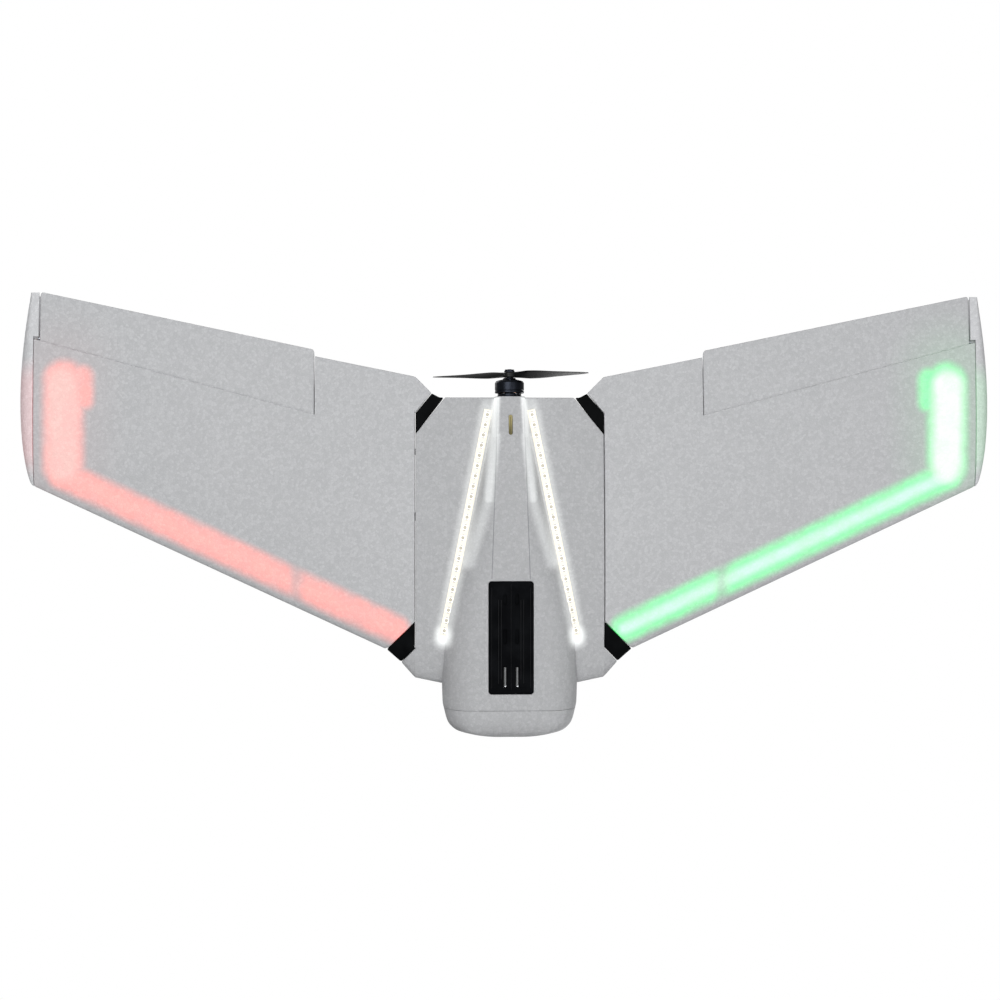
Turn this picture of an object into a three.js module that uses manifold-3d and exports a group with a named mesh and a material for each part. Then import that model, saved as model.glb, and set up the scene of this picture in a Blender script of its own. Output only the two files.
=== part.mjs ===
// Radio-controlled flying wing with a pusher propeller, lit from inside its foam.
// Millimetres, +Z up, nose towards -Y, port wing towards +X. The belly stands on z = 0,
// and the origin is the middle of the bounding box in X and Y.
import * as THREE from 'three';
import { mergeVertices } from 'three/addons/utils/BufferGeometryUtils.js';
import Module from 'manifold-3d';

const wasm = await Module();
wasm.setup();

// ---------------------------------------------------------------- driving dimensions

const GAP = 0.3;                 // clearance between pieces that touch
const WING_PLANE = 34;           // height of the wing's chord plane above the belly
const ROOT_X = 87.3;             // seam between the centre section and a wing panel
const TIP_X = 436;               // seam between a wing panel and its winglet
const ROOT_THICKNESS = 28;
const TIP_THICKNESS = 12.2;
const EDGE_THICKNESS = 1.6;      // thickness of the trailing edge

const PANEL_LE = { x: 113.4, y: -124.5, slope: 0.467 };
const BODY_TE_Y = 108.3;         // straight tail edge in front of the propeller
const PANEL_TE_KINK = { x: 87.3, y: 127.5 };
const PANEL_TE_END = { x: 179.5, y: 146 };

const HINGE = { x: 179.5, y: 94.4, angle: Math.atan(0.2647), length: 259.1 };
const ELEVON_TE = { x: 179.5, y: 152, slope: 0.208 };
const ELEVON_END_X = 429.6;
const HINGE_CLEARANCE = 0.6;
const HORN_HEIGHT = 17;          // linkage arm above its pivot, equal at the servo and the elevon

const NOSE_Y = -204.2;
const NOSE_SEAM_Y = -177.8;
const HATCH = { seamZ: 49, front: -176, rear: 24 };
const BAY = { front: -166, rear: -14, floor: 10, frontHalfWidth: 46, rearHalfWidth: 26, taperY: -100 };

const PLATE = { halfWidth: 20.4, front: -162.6, rear: -60.3, thickness: 2.6, corner: 3 };

const FRONT_SPAR = { y: -2, radius: 4, reach: 192 };
const REAR_SPAR = { y: 58, radius: 3, reach: 150 };
const SLEEVE_WALL = 1;

const MOTOR_Z = 36;
const BELL_RADIUS = 13.5;
const PROP = { y: 129.3, radius: 76.2, restTurn: THREE.MathUtils.degToRad(-22) };

const WINGLET = { top: 104, bendX: TIP_X + 1.3, bendHeight: 8, endBulge: 1.6, midBulge: 5 };

// ---------------------------------------------------------------- materials

const FINISHES = {
  foam: [0xb9babd, 0.85, 0],
  black_plastic: [0x141518, 0.6, 0],
  lens: [0xeef4ee, 0.3, 0],
  circuit: [0x1d3a2a, 0.55, 0.1],
  light_strip: [0xf2f2ea, 0.4, 0],
  carbon: [0x17181a, 0.35, 0.1],
  anodised: [0x16171a, 0.35, 0.7],
  steel: [0xb5b8bd, 0.3, 1],
  copper: [0xa9602f, 0.4, 0.9],
  propeller: [0x121316, 0.4, 0],
  battery_wrap: [0x23262c, 0.5, 0],
  strap: [0x1b1b1d, 0.9, 0],
  plywood: [0xb08d5a, 0.75, 0],
  servo_case: [0x1c2333, 0.4, 0],
  nylon: [0xe6e6e2, 0.5, 0],
  magnet: [0xc2c4c8, 0.25, 1],
};

function finish(name) {
  const [color, roughness, metalness] = FINISHES[name];
  return new THREE.MeshStandardMaterial({ color, roughness, metalness });
}

// ---------------------------------------------------------------- solids from geometry

function solid(geometry) {
  const bare = geometry.clone();
  for (const name of Object.keys(bare.attributes)) {
    if (name !== 'position') bare.deleteAttribute(name);
  }
  const merged = mergeVertices(bare, 1e-4);
  return new wasm.Manifold(new wasm.Mesh({
    numProp: 3,
    vertProperties: new Float32Array(merged.attributes.position.array),
    triVerts: new Uint32Array(merged.index.array),
  }));
}

function geometryOf(manifold) {
  const mesh = manifold.getMesh();
  const geometry = new THREE.BufferGeometry();
  geometry.setAttribute('position', new THREE.BufferAttribute(new Float32Array(mesh.vertProperties), 3));
  geometry.setIndex(new THREE.BufferAttribute(new Uint32Array(mesh.triVerts), 1));
  geometry.computeVertexNormals();
  return geometry;
}

const union = (...pieces) => pieces.reduce((all, piece) => all.add(piece));

function boxGeometry([x0, x1], [y0, y1], [z0, z1]) {
  const geometry = new THREE.BoxGeometry(x1 - x0, y1 - y0, z1 - z0);
  return geometry.translate((x0 + x1) / 2, (y0 + y1) / 2, (z0 + z1) / 2);
}

const box = (x, y, z) => solid(boxGeometry(x, y, z));

// An upright prism over a plan outline, given as [x, y] corners or a Shape.
function prism(outline, z0, z1) {
  const corners = Array.isArray(outline) && outline.map(([x, y]) => new THREE.Vector2(x, y));
  const shape = corners ? new THREE.Shape(corners) : outline;
  const settings = { depth: z1 - z0, bevelEnabled: false, curveSegments: 5 };
  const geometry = new THREE.ExtrudeGeometry(shape, settings);
  return solid(geometry.translate(0, 0, z0));
}

// A round bar between two points; the far end may have its own radius.
function bar(from, to, radius, endRadius = radius, sides = 16) {
  const run = new THREE.Vector3(...to).sub(new THREE.Vector3(...from));
  const geometry = new THREE.CylinderGeometry(endRadius, radius, run.length(), sides);
  geometry.translate(0, run.length() / 2, 0);
  const turn = new THREE.Quaternion().setFromUnitVectors(new THREE.Vector3(0, 1, 0), run.normalize());
  return solid(geometry.applyQuaternion(turn).translate(...from));
}

// A round bar along the wing between two places in x.
const sparBar = ([x0, x1], y, radius) => bar([x0, y, WING_PLANE], [x1, y, WING_PLANE], radius);

function roundedRectangle(x0, x1, y0, y1, corner) {
  const shape = new THREE.Shape();
  shape.moveTo(x0 + corner, y0);
  shape.absarc(x1 - corner, y0 + corner, corner, -Math.PI / 2, 0);
  shape.absarc(x1 - corner, y1 - corner, corner, 0, Math.PI / 2);
  shape.absarc(x0 + corner, y1 - corner, corner, Math.PI / 2, Math.PI);
  shape.absarc(x0 + corner, y0 + corner, corner, Math.PI, 1.5 * Math.PI);
  return shape;
}

// A closed skin through rings of equal length, with a flat fan over each end.
function loft(rings) {
  const count = rings[0].length;
  const points = rings.flat();
  const faces = [];
  for (let r = 0; r + 1 < rings.length; r += 1) {
    for (let i = 0; i < count; i += 1) {
      const a = r * count + i;
      const b = r * count + (i + 1) % count;
      faces.push(a, b, b + count, a, b + count, a + count);
    }
  }
  const lastFirst = (rings.length - 1) * count;
  for (const [ring, first, inward] of [[rings[0], 0, true], [rings.at(-1), lastFirst, false]]) {
    const centre = ring.reduce((sum, p) => sum.add(p), new THREE.Vector3()).divideScalar(count);
    const hub = points.push(centre) - 1;
    for (let i = 0; i < count; i += 1) {
      const pair = [first + i, first + (i + 1) % count];
      faces.push(hub, ...(inward ? pair.reverse() : pair));
    }
  }
  let volume = 0;
  for (let f = 0; f < faces.length; f += 3) {
    volume += points[faces[f]].dot(points[faces[f + 1]].clone().cross(points[faces[f + 2]]));
  }
  const geometry = new THREE.BufferGeometry().setFromPoints(points);
  geometry.setIndex(volume > 0 ? faces : faces.reverse());
  return solid(geometry);
}

// The value at x on straight lines through [x, value] knots.
function along(knots, x) {
  const last = knots.findIndex(([knotX]) => x <= knotX);
  if (last < 0) return knots.at(-1)[1];
  if (last === 0) return knots[0][1];
  const [x0, v0] = knots[last - 1];
  const [x1, v1] = knots[last];
  return v0 + ((x - x0) / (x1 - x0)) * (v1 - v0);
}

// ---------------------------------------------------------------- port and starboard

// Shapes that lie on both sides of the middle are made for port and copied to starboard.
const mirrorPoints = (points) => points.map(([x, y]) => [-x, y]).reverse();

function mirrored(geometry) {
  const copy = geometry.clone().scale(-1, 1, 1);
  const index = copy.index.array;
  for (let i = 0; i < index.length; i += 3) [index[i], index[i + 1]] = [index[i + 1], index[i]];
  copy.computeVertexNormals();
  return copy;
}

const bothSides = (manifold) => manifold.add(solid(mirrored(geometryOf(manifold))));

// ---------------------------------------------------------------- wing surface

const NOSE_ROOT = [
  [0, -156], [63.4, -155.6], [87.5, -150.5], [100.2, -136.1], [PANEL_LE.x, PANEL_LE.y],
];
const TAIL_ROOT = [
  [0, BODY_TE_Y], [64.9, BODY_TE_Y], [71.8, 112], [PANEL_TE_KINK.x, PANEL_TE_KINK.y],
  [PANEL_TE_END.x, PANEL_TE_END.y], [PANEL_TE_END.x + 0.4, ELEVON_TE.y],
];

function leadingEdge(x) {
  return x > PANEL_LE.x ? PANEL_LE.y + PANEL_LE.slope * (x - PANEL_LE.x) : along(NOSE_ROOT, x);
}

function trailingEdge(x) {
  const beyond = x > PANEL_TE_END.x + 0.4;
  return beyond ? Math.min(204.2, ELEVON_TE.y + ELEVON_TE.slope * (x - ELEVON_TE.x)) : along(TAIL_ROOT, x);
}

const thickness = (x) => along([[ROOT_X, ROOT_THICKNESS], [TIP_X, TIP_THICKNESS]], x);

// Half thickness of the section at a fraction of its chord: a four-digit series section.
function halfSection(u, t) {
  const form = 0.2969 * Math.sqrt(u) - 0.126 * u - 0.3516 * u ** 2 + 0.2843 * u ** 3 - 0.1036 * u ** 4;
  return 5 * t * form + (EDGE_THICKNESS / 2) * u;
}

function halfThicknessAt(x, y) {
  const u = (y - leadingEdge(x)) / (trailingEdge(x) - leadingEdge(x));
  return halfSection(u, thickness(x));
}

const SECTION_STEPS = 11;
const CHORD_FRACTIONS = Array.from({ length: SECTION_STEPS + 1 }, (_, i) => (
  (1 - Math.cos((Math.PI * i) / SECTION_STEPS)) / 2
));

// One closed section: over the top from the trailing edge, round the nose, and back under.
function sectionRing(place) {
  const over = CHORD_FRACTIONS.slice(1).reverse().map((u) => place(u, 1));
  const under = CHORD_FRACTIONS.slice(1).map((u) => place(u, -1));
  return [...over, place(0, 0), ...under];
}

function wingRing(x, lift) {
  const front = leadingEdge(x);
  const chord = trailingEdge(x) - front;
  const t = thickness(x);
  return sectionRing((u, side) => (
    new THREE.Vector3(x, front + u * chord, WING_PLANE + lift + side * halfSection(u, t))
  ));
}

const HALF_STATIONS = [
  0, 64, 71.8, ROOT_X, 100.2, PANEL_LE.x, PANEL_TE_END.x, PANEL_TE_END.x + 0.4, 300, TIP_X + 4,
];

// The whole wing as one body, before it is cut into pieces. Lift moves it straight up.
function wingBlank(lift = 0) {
  return bothSides(loft(HALF_STATIONS.map((x) => wingRing(x, lift))));
}

const wing = wingBlank();
const HIGH = 200;
const LOW = -20;

// ---------------------------------------------------------------- pod

// Distance along the body, half width where the pod meets the wing, half width of the flat
// keel, underside height, top height.
const POD_STATIONS = [
  [NOSE_Y, 9, 5, 20, 34],
  [-203.2, 25, 16, 15, 40],
  [-201.4, 38, 24, 11, 44],
  [-197.5, 51, 32, 7, 49],
  [-190, 57.6, 34, 3.2, 54],
  [-181, 60.2, 33, 1, 58],
  [-172, 62, 31, 0, 60.5],
  [-150, 62.6, 28, 0, 62.5],
  [-110, 62.2, 24, 0, 63],
  [-62, 52, 20.9, 0, 61],
  [-57, 50.6, 17.3, 0, 60.7],
  [-7, 37, 14.8, 0, 57],
  [30, 28, 13.4, 0, 54],
  [61, 21, 12.8, 3.4, 52],
  [85, 17.2, 12.4, 9.4, 51],
  [BODY_TE_Y, 14.4, 12.2, 17, 50.4],
];
const CORNER_STEPS = 5;
const KEEL_CREASE = [[-62, 0], [-20, 0.42]];   // angle at which the side leaves the keel

function podRing([y, halfWidth, keel, bottom, top]) {
  const crown = halfWidth * 0.45;
  const crease = along(KEEL_CREASE, y);
  const quarter = [];
  for (let i = 0; i <= CORNER_STEPS; i += 1) {
    const a = crease + (Math.PI / 2 - crease) * (i / CORNER_STEPS);
    const out = (Math.sin(a) - Math.sin(crease)) / (1 - Math.sin(crease));
    const z = WING_PLANE - (WING_PLANE - bottom) * (Math.cos(a) / Math.cos(crease));
    quarter.push([keel + (halfWidth - keel) * out, z]);
  }
  for (let i = 1; i <= CORNER_STEPS; i += 1) {
    const a = (Math.PI / 2) * (i / CORNER_STEPS);
    const z = WING_PLANE + (top - WING_PLANE) * Math.sin(a);
    quarter.push([crown + (halfWidth - crown) * Math.cos(a), z]);
  }
  const port = quarter.map(([x, z]) => new THREE.Vector3(x, y, z));
  const starboard = [...quarter].reverse().map(([x, z]) => new THREE.Vector3(-x, y, z));
  return [...port, ...starboard];
}

const pod = bothSides(loft(POD_STATIONS.map(podRing)).intersect(box([0, 90], [-300, 200], [-50, 150])));

// ---------------------------------------------------------------- corner locks

const FRONT_LOCK = [[113.4, -124.5], [ROOT_X + GAP, -99.2], [ROOT_X + GAP, -122.6], [100.3, -135.8]];
const TAIL_LOCK = [[59.9, 109], [64, 109.5], [71, 113], [86.9, 93.7], [86.9, 74.6]];
const TAIL_LOCK_POCKET = [[59.5, 110], [64.9, 112], [71.8, 116], [88, 93], [88, 73.2]];

const cutBy = (outline) => wing.intersect(prism(outline, LOW, HIGH));

// ---------------------------------------------------------------- spars and root fittings

function sparBores(clearance) {
  const bores = [FRONT_SPAR, REAR_SPAR].map(({ y, radius }) => sparBar([-300, 300], y, radius + clearance));
  return union(...bores);
}

const ROOT_FITTING = { y: 28, halfLength: 9, halfHeight: 5, depth: 12 };

function rootFitting(x0, x1, grow) {
  const { y, halfLength, halfHeight } = ROOT_FITTING;
  const l = halfLength + grow;
  const h = halfHeight + grow;
  return box([x0, x1], [y - l, y + l], [WING_PLANE - h, WING_PLANE + h]);
}

// ---------------------------------------------------------------- centre section and nose

const bayOutline = [
  [BAY.frontHalfWidth, BAY.front], [BAY.frontHalfWidth, BAY.taperY], [BAY.rearHalfWidth, BAY.rear],
  [-BAY.rearHalfWidth, BAY.rear], [-BAY.frontHalfWidth, BAY.taperY], [-BAY.frontHalfWidth, BAY.front],
];

const MOTOR_MOUNT = { halfWidth: 11, bottom: 24, top: 48, front: 104, rear: 108 };
const COOLING_SLOT = { y: 82, halfLength: 9, halfWidth: 1.6 };
const TAIL_STIFFENER = { halfWidth: 4, y: [69, 95], z: [18, 21] };

const bodyHalf = [
  [0, -160], [63.4, -160], [87.5, -152], [100, -136.2], [ROOT_X - GAP, -122.8], [ROOT_X - GAP, 74.1],
  [59.4, 108.6], [59.4, 112], [0, 112],
];

function coolingSlot() {
  const { y, halfLength, halfWidth } = COOLING_SLOT;
  const corner = halfWidth - 0.01;
  return prism(roundedRectangle(-halfWidth, halfWidth, y - halfLength, y + halfLength, corner), LOW, 19);
}

// The hatch's magnets and, under them, their catch plates: discs on the middle line.
const HATCH_MAGNETS = { front: -171, rear: 14 };
const MAGNET_RADIUS = 3;
const MAGNET_TOP = HATCH.seamZ + 2.3;
const CATCH_BOTTOM = HATCH.seamZ - 2.3;

const uprightDisc = (y, z0, z1, radius) => bar([0, y, z0], [0, y, z1], radius);

function discRooms(z0, z1) {
  const rooms = Object.values(HATCH_MAGNETS).map((y) => uprightDisc(y, z0, z1, MAGNET_RADIUS + GAP));
  return union(...rooms);
}

function bellySlotPlate(grow) {
  const { halfWidth, front, rear, corner, thickness: depth } = PLATE;
  const outline = roundedRectangle(-halfWidth - grow, halfWidth + grow, front - grow, rear + grow, corner);
  return prism(outline, grow > 0 ? -1 : 0, depth + grow);
}

function centreSection() {
  const planform = prism([...bodyHalf, ...mirrorPoints(bodyHalf)], LOW, HIGH);
  const wingCore = wing.intersect(planform);
  const podCore = pod.intersect(box([-90, 90], [NOSE_SEAM_Y + GAP / 2, 200], [LOW, HIGH]));
  const hatchRoom = box([-80, 80], [HATCH.front - GAP, HATCH.rear + GAP], [HATCH.seamZ - GAP, HIGH]);
  const bay = prism(bayOutline, BAY.floor, HIGH);
  const { halfWidth, bottom, top, front } = MOTOR_MOUNT;
  const mountRoom = box([-halfWidth - GAP, halfWidth + GAP], [front - GAP, 120], [bottom - GAP, top + GAP]);
  const stiffener = TAIL_STIFFENER;
  const stiffenerRoom = box(
    [-stiffener.halfWidth - GAP, stiffener.halfWidth + GAP],
    [stiffener.y[0] - GAP, stiffener.y[1] + GAP],
    [stiffener.z[0] - GAP, stiffener.z[1] + GAP],
  );
  const rootRoom = bothSides(rootFitting(ROOT_X - ROOT_FITTING.depth, ROOT_X + 5, GAP));
  const catches = discRooms(CATCH_BOTTOM - GAP, HATCH.seamZ + 1);
  const lockRoom = prism(TAIL_LOCK_POCKET, LOW, HIGH).add(prism(mirrorPoints(TAIL_LOCK_POCKET), LOW, HIGH));
  return wingCore.add(podCore)
    .subtract(hatchRoom)
    .subtract(bay)
    .subtract(mountRoom)
    .subtract(stiffenerRoom)
    .subtract(coolingSlot())
    .subtract(rootRoom)
    .subtract(catches)
    .subtract(lockRoom)
    .subtract(bellySlotPlate(GAP))
    .subtract(sparBores(GAP));
}

const LENS = { halfWidth: 22, z: [18, 27], depth: 7 };
const LIGHT_BOARD = { halfWidth: 20, thickness: 1.6 };

function lensBlock(grow) {
  const rear = NOSE_Y + LENS.depth;
  const width = LENS.halfWidth + grow;
  return box([-width, width], [NOSE_Y - 5, rear + grow], [LENS.z[0] - grow, LENS.z[1] + grow]);
}

function noseCap() {
  const front = pod.intersect(box([-90, 90], [-300, NOSE_SEAM_Y - GAP / 2], [LOW, HIGH]));
  const behindLens = NOSE_Y + LENS.depth;
  const boardRoom = box([-LIGHT_BOARD.halfWidth - GAP, LIGHT_BOARD.halfWidth + GAP],
    [behindLens, behindLens + 4], [LENS.z[0], LENS.z[1]]);
  return front.subtract(lensBlock(GAP)).subtract(boardRoom);
}

const noseLens = () => pod.intersect(lensBlock(0));

function noseLightBoard() {
  const front = NOSE_Y + LENS.depth + GAP * 2;
  return box([-LIGHT_BOARD.halfWidth, LIGHT_BOARD.halfWidth], [front, front + LIGHT_BOARD.thickness],
    [LENS.z[0] + 1, LENS.z[1] - 1]);
}

const HATCH_HOLLOW = [[34, -164], [34, -100], [20, -6]];

function topHatch() {
  const shell = pod.intersect(box([-80, 80], [HATCH.front, HATCH.rear], [HATCH.seamZ, HIGH]));
  const hollow = prism([...HATCH_HOLLOW, ...mirrorPoints(HATCH_HOLLOW)], LOW, HATCH.seamZ + 4);
  return shell.subtract(hollow).subtract(discRooms(HATCH.seamZ - 1, MAGNET_TOP + GAP));
}

// Slots in mirrored pairs down the belly plate: distance along the body, and length.
const PLATE_SLOTS = [[-77, 10], [-110.5, 14], [-147, 20]];
const PLATE_SLOT = { x: 5.5, halfWidth: 1.9 };

function bellyPlate() {
  const slots = PLATE_SLOTS.flatMap(([y, length]) => [-1, 1].map((side) => {
    const x = side * PLATE_SLOT.x;
    const w = PLATE_SLOT.halfWidth;
    return prism(roundedRectangle(x - w, x + w, y - length / 2, y + length / 2, w - 0.01), LOW, 10);
  }));
  return bellySlotPlate(0).subtract(union(...slots));
}

// ---------------------------------------------------------------- light strips

const BELLY_STRIP = { rear: [19.7, 97], front: [61.4, -111], width: 7.5, thickness: 1.6 };

function stripOutline([x0, y0], [x1, y1], width) {
  const length = Math.hypot(x1 - x0, y1 - y0);
  const sideX = ((y1 - y0) / length) * (width / 2);
  const sideY = (-(x1 - x0) / length) * (width / 2);
  return [
    [x0 + sideX, y0 + sideY], [x1 + sideX, y1 + sideY], [x1 - sideX, y1 - sideY], [x0 - sideX, y0 - sideY],
  ];
}

// The skin just outside the wing over a plan area: below the wing when side is -1.
function skinOver(plan, side, depth) {
  const outer = wingBlank(side * (depth + GAP));
  return outer.intersect(plan).subtract(wingBlank(side * GAP));
}

function bellyStrip() {
  const { rear, front, width, thickness: depth } = BELLY_STRIP;
  const plan = prism(stripOutline(rear, front, width), LOW, WING_PLANE);
  return skinOver(plan, -1, depth).subtract(pod).subtract(solid(geometryOf(pod).translate(0.4, 0, 0)));
}

// Route of the navigation light on a port panel: along the leading edge, then round the tip.
const NAV_INSET = 22;
const NAV_STRIP = { width: 8, link: 2, thickness: 1.4 };
const navPoint = (x) => [x, PANEL_LE.y + PANEL_LE.slope * (x - PANEL_LE.x) + NAV_INSET];

function navStrip() {
  const runs = [
    [navPoint(105), navPoint(192), NAV_STRIP.width],
    [navPoint(191), navPoint(207), NAV_STRIP.link],
    [navPoint(206), navPoint(417), NAV_STRIP.width],
    [[413, 40], [413, 138], NAV_STRIP.width],
    [[417, 134], [385, 134], NAV_STRIP.width],
    [[389, 138], [389, 97], NAV_STRIP.width],
  ];
  const plans = runs.map(([from, to, width]) => prism(stripOutline(from, to, width), WING_PLANE, HIGH));
  return skinOver(union(...plans), 1, NAV_STRIP.thickness);
}

// ---------------------------------------------------------------- hinge frame

// Local x runs outboard along the elevon's hinge line, local y runs aft, local z is up.
const hingeFrame = new THREE.Matrix4()
  .makeRotationZ(HINGE.angle)
  .setPosition(HINGE.x, HINGE.y, WING_PLANE);

const inHingeFrame = (manifold) => solid(geometryOf(manifold).applyMatrix4(hingeFrame));

function hingePoint(distance) {
  return new THREE.Vector3(distance, 0, 0).applyMatrix4(hingeFrame);
}

const INNER_NOSE = halfThicknessAt(HINGE.x + 0.5, HINGE.y);
const outerPoint = hingePoint(HINGE.length);
const OUTER_NOSE = halfThicknessAt(outerPoint.x, outerPoint.y);
const noseRadius = (x) => INNER_NOSE + (OUTER_NOSE - INNER_NOSE) * (x / HINGE.length);

// Aft distance of the trailing edge from the hinge line, measured square to it.
function elevonChord(x) {
  const turn = HINGE.angle - Math.atan(ELEVON_TE.slope);
  const inner = (ELEVON_TE.y - HINGE.y) * Math.cos(HINGE.angle);
  return inner - x * Math.tan(turn);
}

const NOSE_STEPS = 8;

function elevonRing(x) {
  const r = noseRadius(x);
  const edge = elevonChord(x);
  const ring = [new THREE.Vector3(x, edge, EDGE_THICKNESS / 2)];
  for (let i = 0; i <= NOSE_STEPS; i += 1) {
    const a = Math.PI / 2 + (Math.PI * i) / NOSE_STEPS;
    ring.push(new THREE.Vector3(x, r * Math.cos(a), r * Math.sin(a)));
  }
  ring.push(new THREE.Vector3(x, edge, -EDGE_THICKNESS / 2));
  return ring;
}

const ELEVON_SLIT = 1.2;         // side gap between an elevon and its neighbours
const PIN = { radius: 1.2, intoPanel: 16, intoElevon: 12 };
const HINGE_ENDS = { inner: 2.6, outer: HINGE.length - 2.2 };

function hingePin(x, outward) {
  const inPanel = [x + outward * PIN.intoPanel, 0, 0];
  const inElevon = [x - outward * PIN.intoElevon, 0, 0];
  return { inPanel, inElevon };
}

const innerPin = hingePin(HINGE_ENDS.inner, -1);
const outerPin = hingePin(HINGE_ENDS.outer, 1);
outerPin.inPanel[0] = HINGE_ENDS.outer + 5;

function pinBar({ inPanel, inElevon }, grow) {
  return bar(inPanel, inElevon, PIN.radius + grow, PIN.radius + grow, 10);
}

const HORN = { x: 62, halfThickness: 0.9, base: [2, 16] };

function hornPocket(grow) {
  const [y0, y1] = HORN.base;
  const z0 = noseRadius(HORN.x) - 3;
  return box([HORN.x - 5 - grow, HORN.x + 5 + grow], [y0 - grow, y1 + grow], [z0 - grow, 30]);
}

function elevon() {
  const blank = inHingeFrame(loft([-12, HINGE.length + 12].map(elevonRing)));
  const innerX = HINGE.x + ELEVON_SLIT;
  const corner = 3;
  const plan = new THREE.Shape();
  plan.moveTo(innerX, HINGE.y - 20);
  plan.lineTo(ELEVON_END_X, HINGE.y - 20);
  plan.lineTo(ELEVON_END_X, 190);
  plan.lineTo(ELEVON_END_X - 1.6, 202.2);
  plan.quadraticCurveTo(ELEVON_END_X - 2, 204, ELEVON_END_X - corner - 2, 203.2);
  plan.lineTo(innerX + corner, 158);
  plan.lineTo(innerX + corner, ELEVON_TE.y + 0.4);
  plan.quadraticCurveTo(innerX, ELEVON_TE.y, innerX, ELEVON_TE.y - corner);
  const pins = inHingeFrame(pinBar(innerPin, GAP).add(pinBar(outerPin, GAP)));
  return blank.intersect(prism(plan, LOW, HIGH)).subtract(pins).subtract(inHingeFrame(hornPocket(GAP)));
}

// ---------------------------------------------------------------- linkage

const SERVO = { x: [34, 56], y: [-72, -49], z: [-5.6, 6.4] };
const ARM = { x: 59, y: -60, thickness: 1.6 };
const ROD_SIDE = 2.2;            // the pushrod lies beside the arm and the horn
const servoPivot = [ARM.x, ARM.y, 0.4];
const ARM_HOLE = 1.1;
const STUB = 0.75;

function servoBody() {
  const gearEnd = ARM.x - ARM.thickness / 2 - GAP;
  const gear = bar([SERVO.x[1] - 1, ARM.y, servoPivot[2]], [gearEnd, ARM.y, servoPivot[2]], 2.6);
  const ears = box([SERVO.x[1] - 7, SERVO.x[1] - 4.8], [SERVO.y[0] - 4.6, SERVO.y[1] + 4.6], SERVO.z);
  return box(SERVO.x, SERVO.y, SERVO.z).add(gear).add(ears);
}

const servoPocket = () => (
  box([SERVO.x[0] - GAP, ARM.x + 5], [SERVO.y[0] - 5, SERVO.y[1] + 5], [SERVO.z[0] - GAP - 1, 40])
);

// A tapering lever seen along the hinge line, with a hole near its top.
function lever(pivot, height, x0, x1, rootWidth) {
  const [y, z] = pivot;
  const shape = new THREE.Shape();
  shape.moveTo(y - rootWidth, z);
  shape.lineTo(y + rootWidth, z);
  shape.lineTo(y + 2.4, z + height);
  shape.absarc(y, z + height, 2.4, 0, Math.PI, false);
  shape.closePath();
  const hole = new THREE.Path();
  hole.absarc(y, z + height, ARM_HOLE, 0, 2 * Math.PI, true);
  shape.holes.push(hole);
  const settings = { depth: x1 - x0, bevelEnabled: false, curveSegments: 8 };
  const geometry = new THREE.ExtrudeGeometry(shape, settings);
  // the shape's plane (y, z) is laid across the hinge line, and its depth runs outboard
  const lay = new THREE.Matrix4().makeBasis(
    new THREE.Vector3(0, 1, 0), new THREE.Vector3(0, 0, 1), new THREE.Vector3(1, 0, 0));
  return solid(geometry.applyMatrix4(lay).translate(x0, 0, 0));
}

function servoArm() {
  const half = ARM.thickness / 2;
  const blade = lever([ARM.y, servoPivot[2]], HORN_HEIGHT, ARM.x - half, ARM.x + half, 3);
  const hub = bar([ARM.x - half, ARM.y, servoPivot[2]], [ARM.x + 2.4, ARM.y, servoPivot[2]], 3.4);
  return blade.add(hub);
}

function controlHorn() {
  const floor = noseRadius(HORN.x) - 3;
  const across = [ARM.x - HORN.halfThickness, ARM.x + HORN.halfThickness];
  const base = box([HORN.x - 5, HORN.x + 5], HORN.base, [floor, floor + 3]);
  const foot = box(across, [3, 14], [floor + 1, 9.4]);
  const neck = box(across, [0.8, 6], [noseRadius(HORN.x) + 1.4, 11]);
  const blade = lever([0, 9], HORN_HEIGHT - 9, ...across, 2.8);
  return base.add(foot).add(neck).add(blade);
}

function pushrod() {
  const z0 = servoPivot[2] + HORN_HEIGHT;
  const x = ARM.x + ROD_SIDE;
  const rear = [x, 0, HORN_HEIGHT];
  const front = [x, ARM.y, z0];
  const rod = bar(front, rear, 0.9, 0.9, 8);
  const eyes = [front, rear].map(([, y, z]) => (
    bar([x - 0.9, y, z], [x + 0.9, y, z], 2, 2, 12).add(bar([ARM.x - 1.4, y, z], [x, y, z], STUB, STUB, 8))
  ));
  return union(rod, ...eyes);
}

// A thin cover that follows the wing's top over the servo, open beside the arm.
function coverPlan(grow) {
  const across = [SERVO.x[0] - 2 - grow, SERVO.x[1] + 0.6 + grow];
  const lengthwise = [SERVO.y[0] - 7 - grow, SERVO.y[1] + 7 + grow];
  return inHingeFrame(box(across, lengthwise, [0, 60]));
}

// ---------------------------------------------------------------- wing panel

const panelOutline = [
  [115.1, -125.7], [ROOT_X + GAP, -98.6], [ROOT_X + GAP, 93.6], [71.4, 113.3],
  [86.8, 130], [PANEL_TE_END.x, 150], [PANEL_TE_END.x + 8, 150], [PANEL_TE_END.x + 8, 120],
  [TIP_X - GAP, 170], [TIP_X - GAP, 20],
];

function elevonRoom() {
  const inner = HINGE.x;
  const near = -20;
  const far = HINGE.length + 30;
  const coveRadius = (x) => noseRadius(x) + HINGE_CLEARANCE;
  const cove = bar([near, 0, 0], [far, 0, 0], coveRadius(near), coveRadius(far), 24);
  const lip = (x) => -(noseRadius(x) * 0.27 + 0.5);
  const behind = prism([[near, lip(near)], [far, lip(far)], [far, 120], [near, 120]], -40, 60);
  const room = inHingeFrame(cove.add(behind));
  return room.intersect(prism([[inner, 0], [600, 0], [600, 260], [inner, 260]], LOW, HIGH));
}

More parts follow.
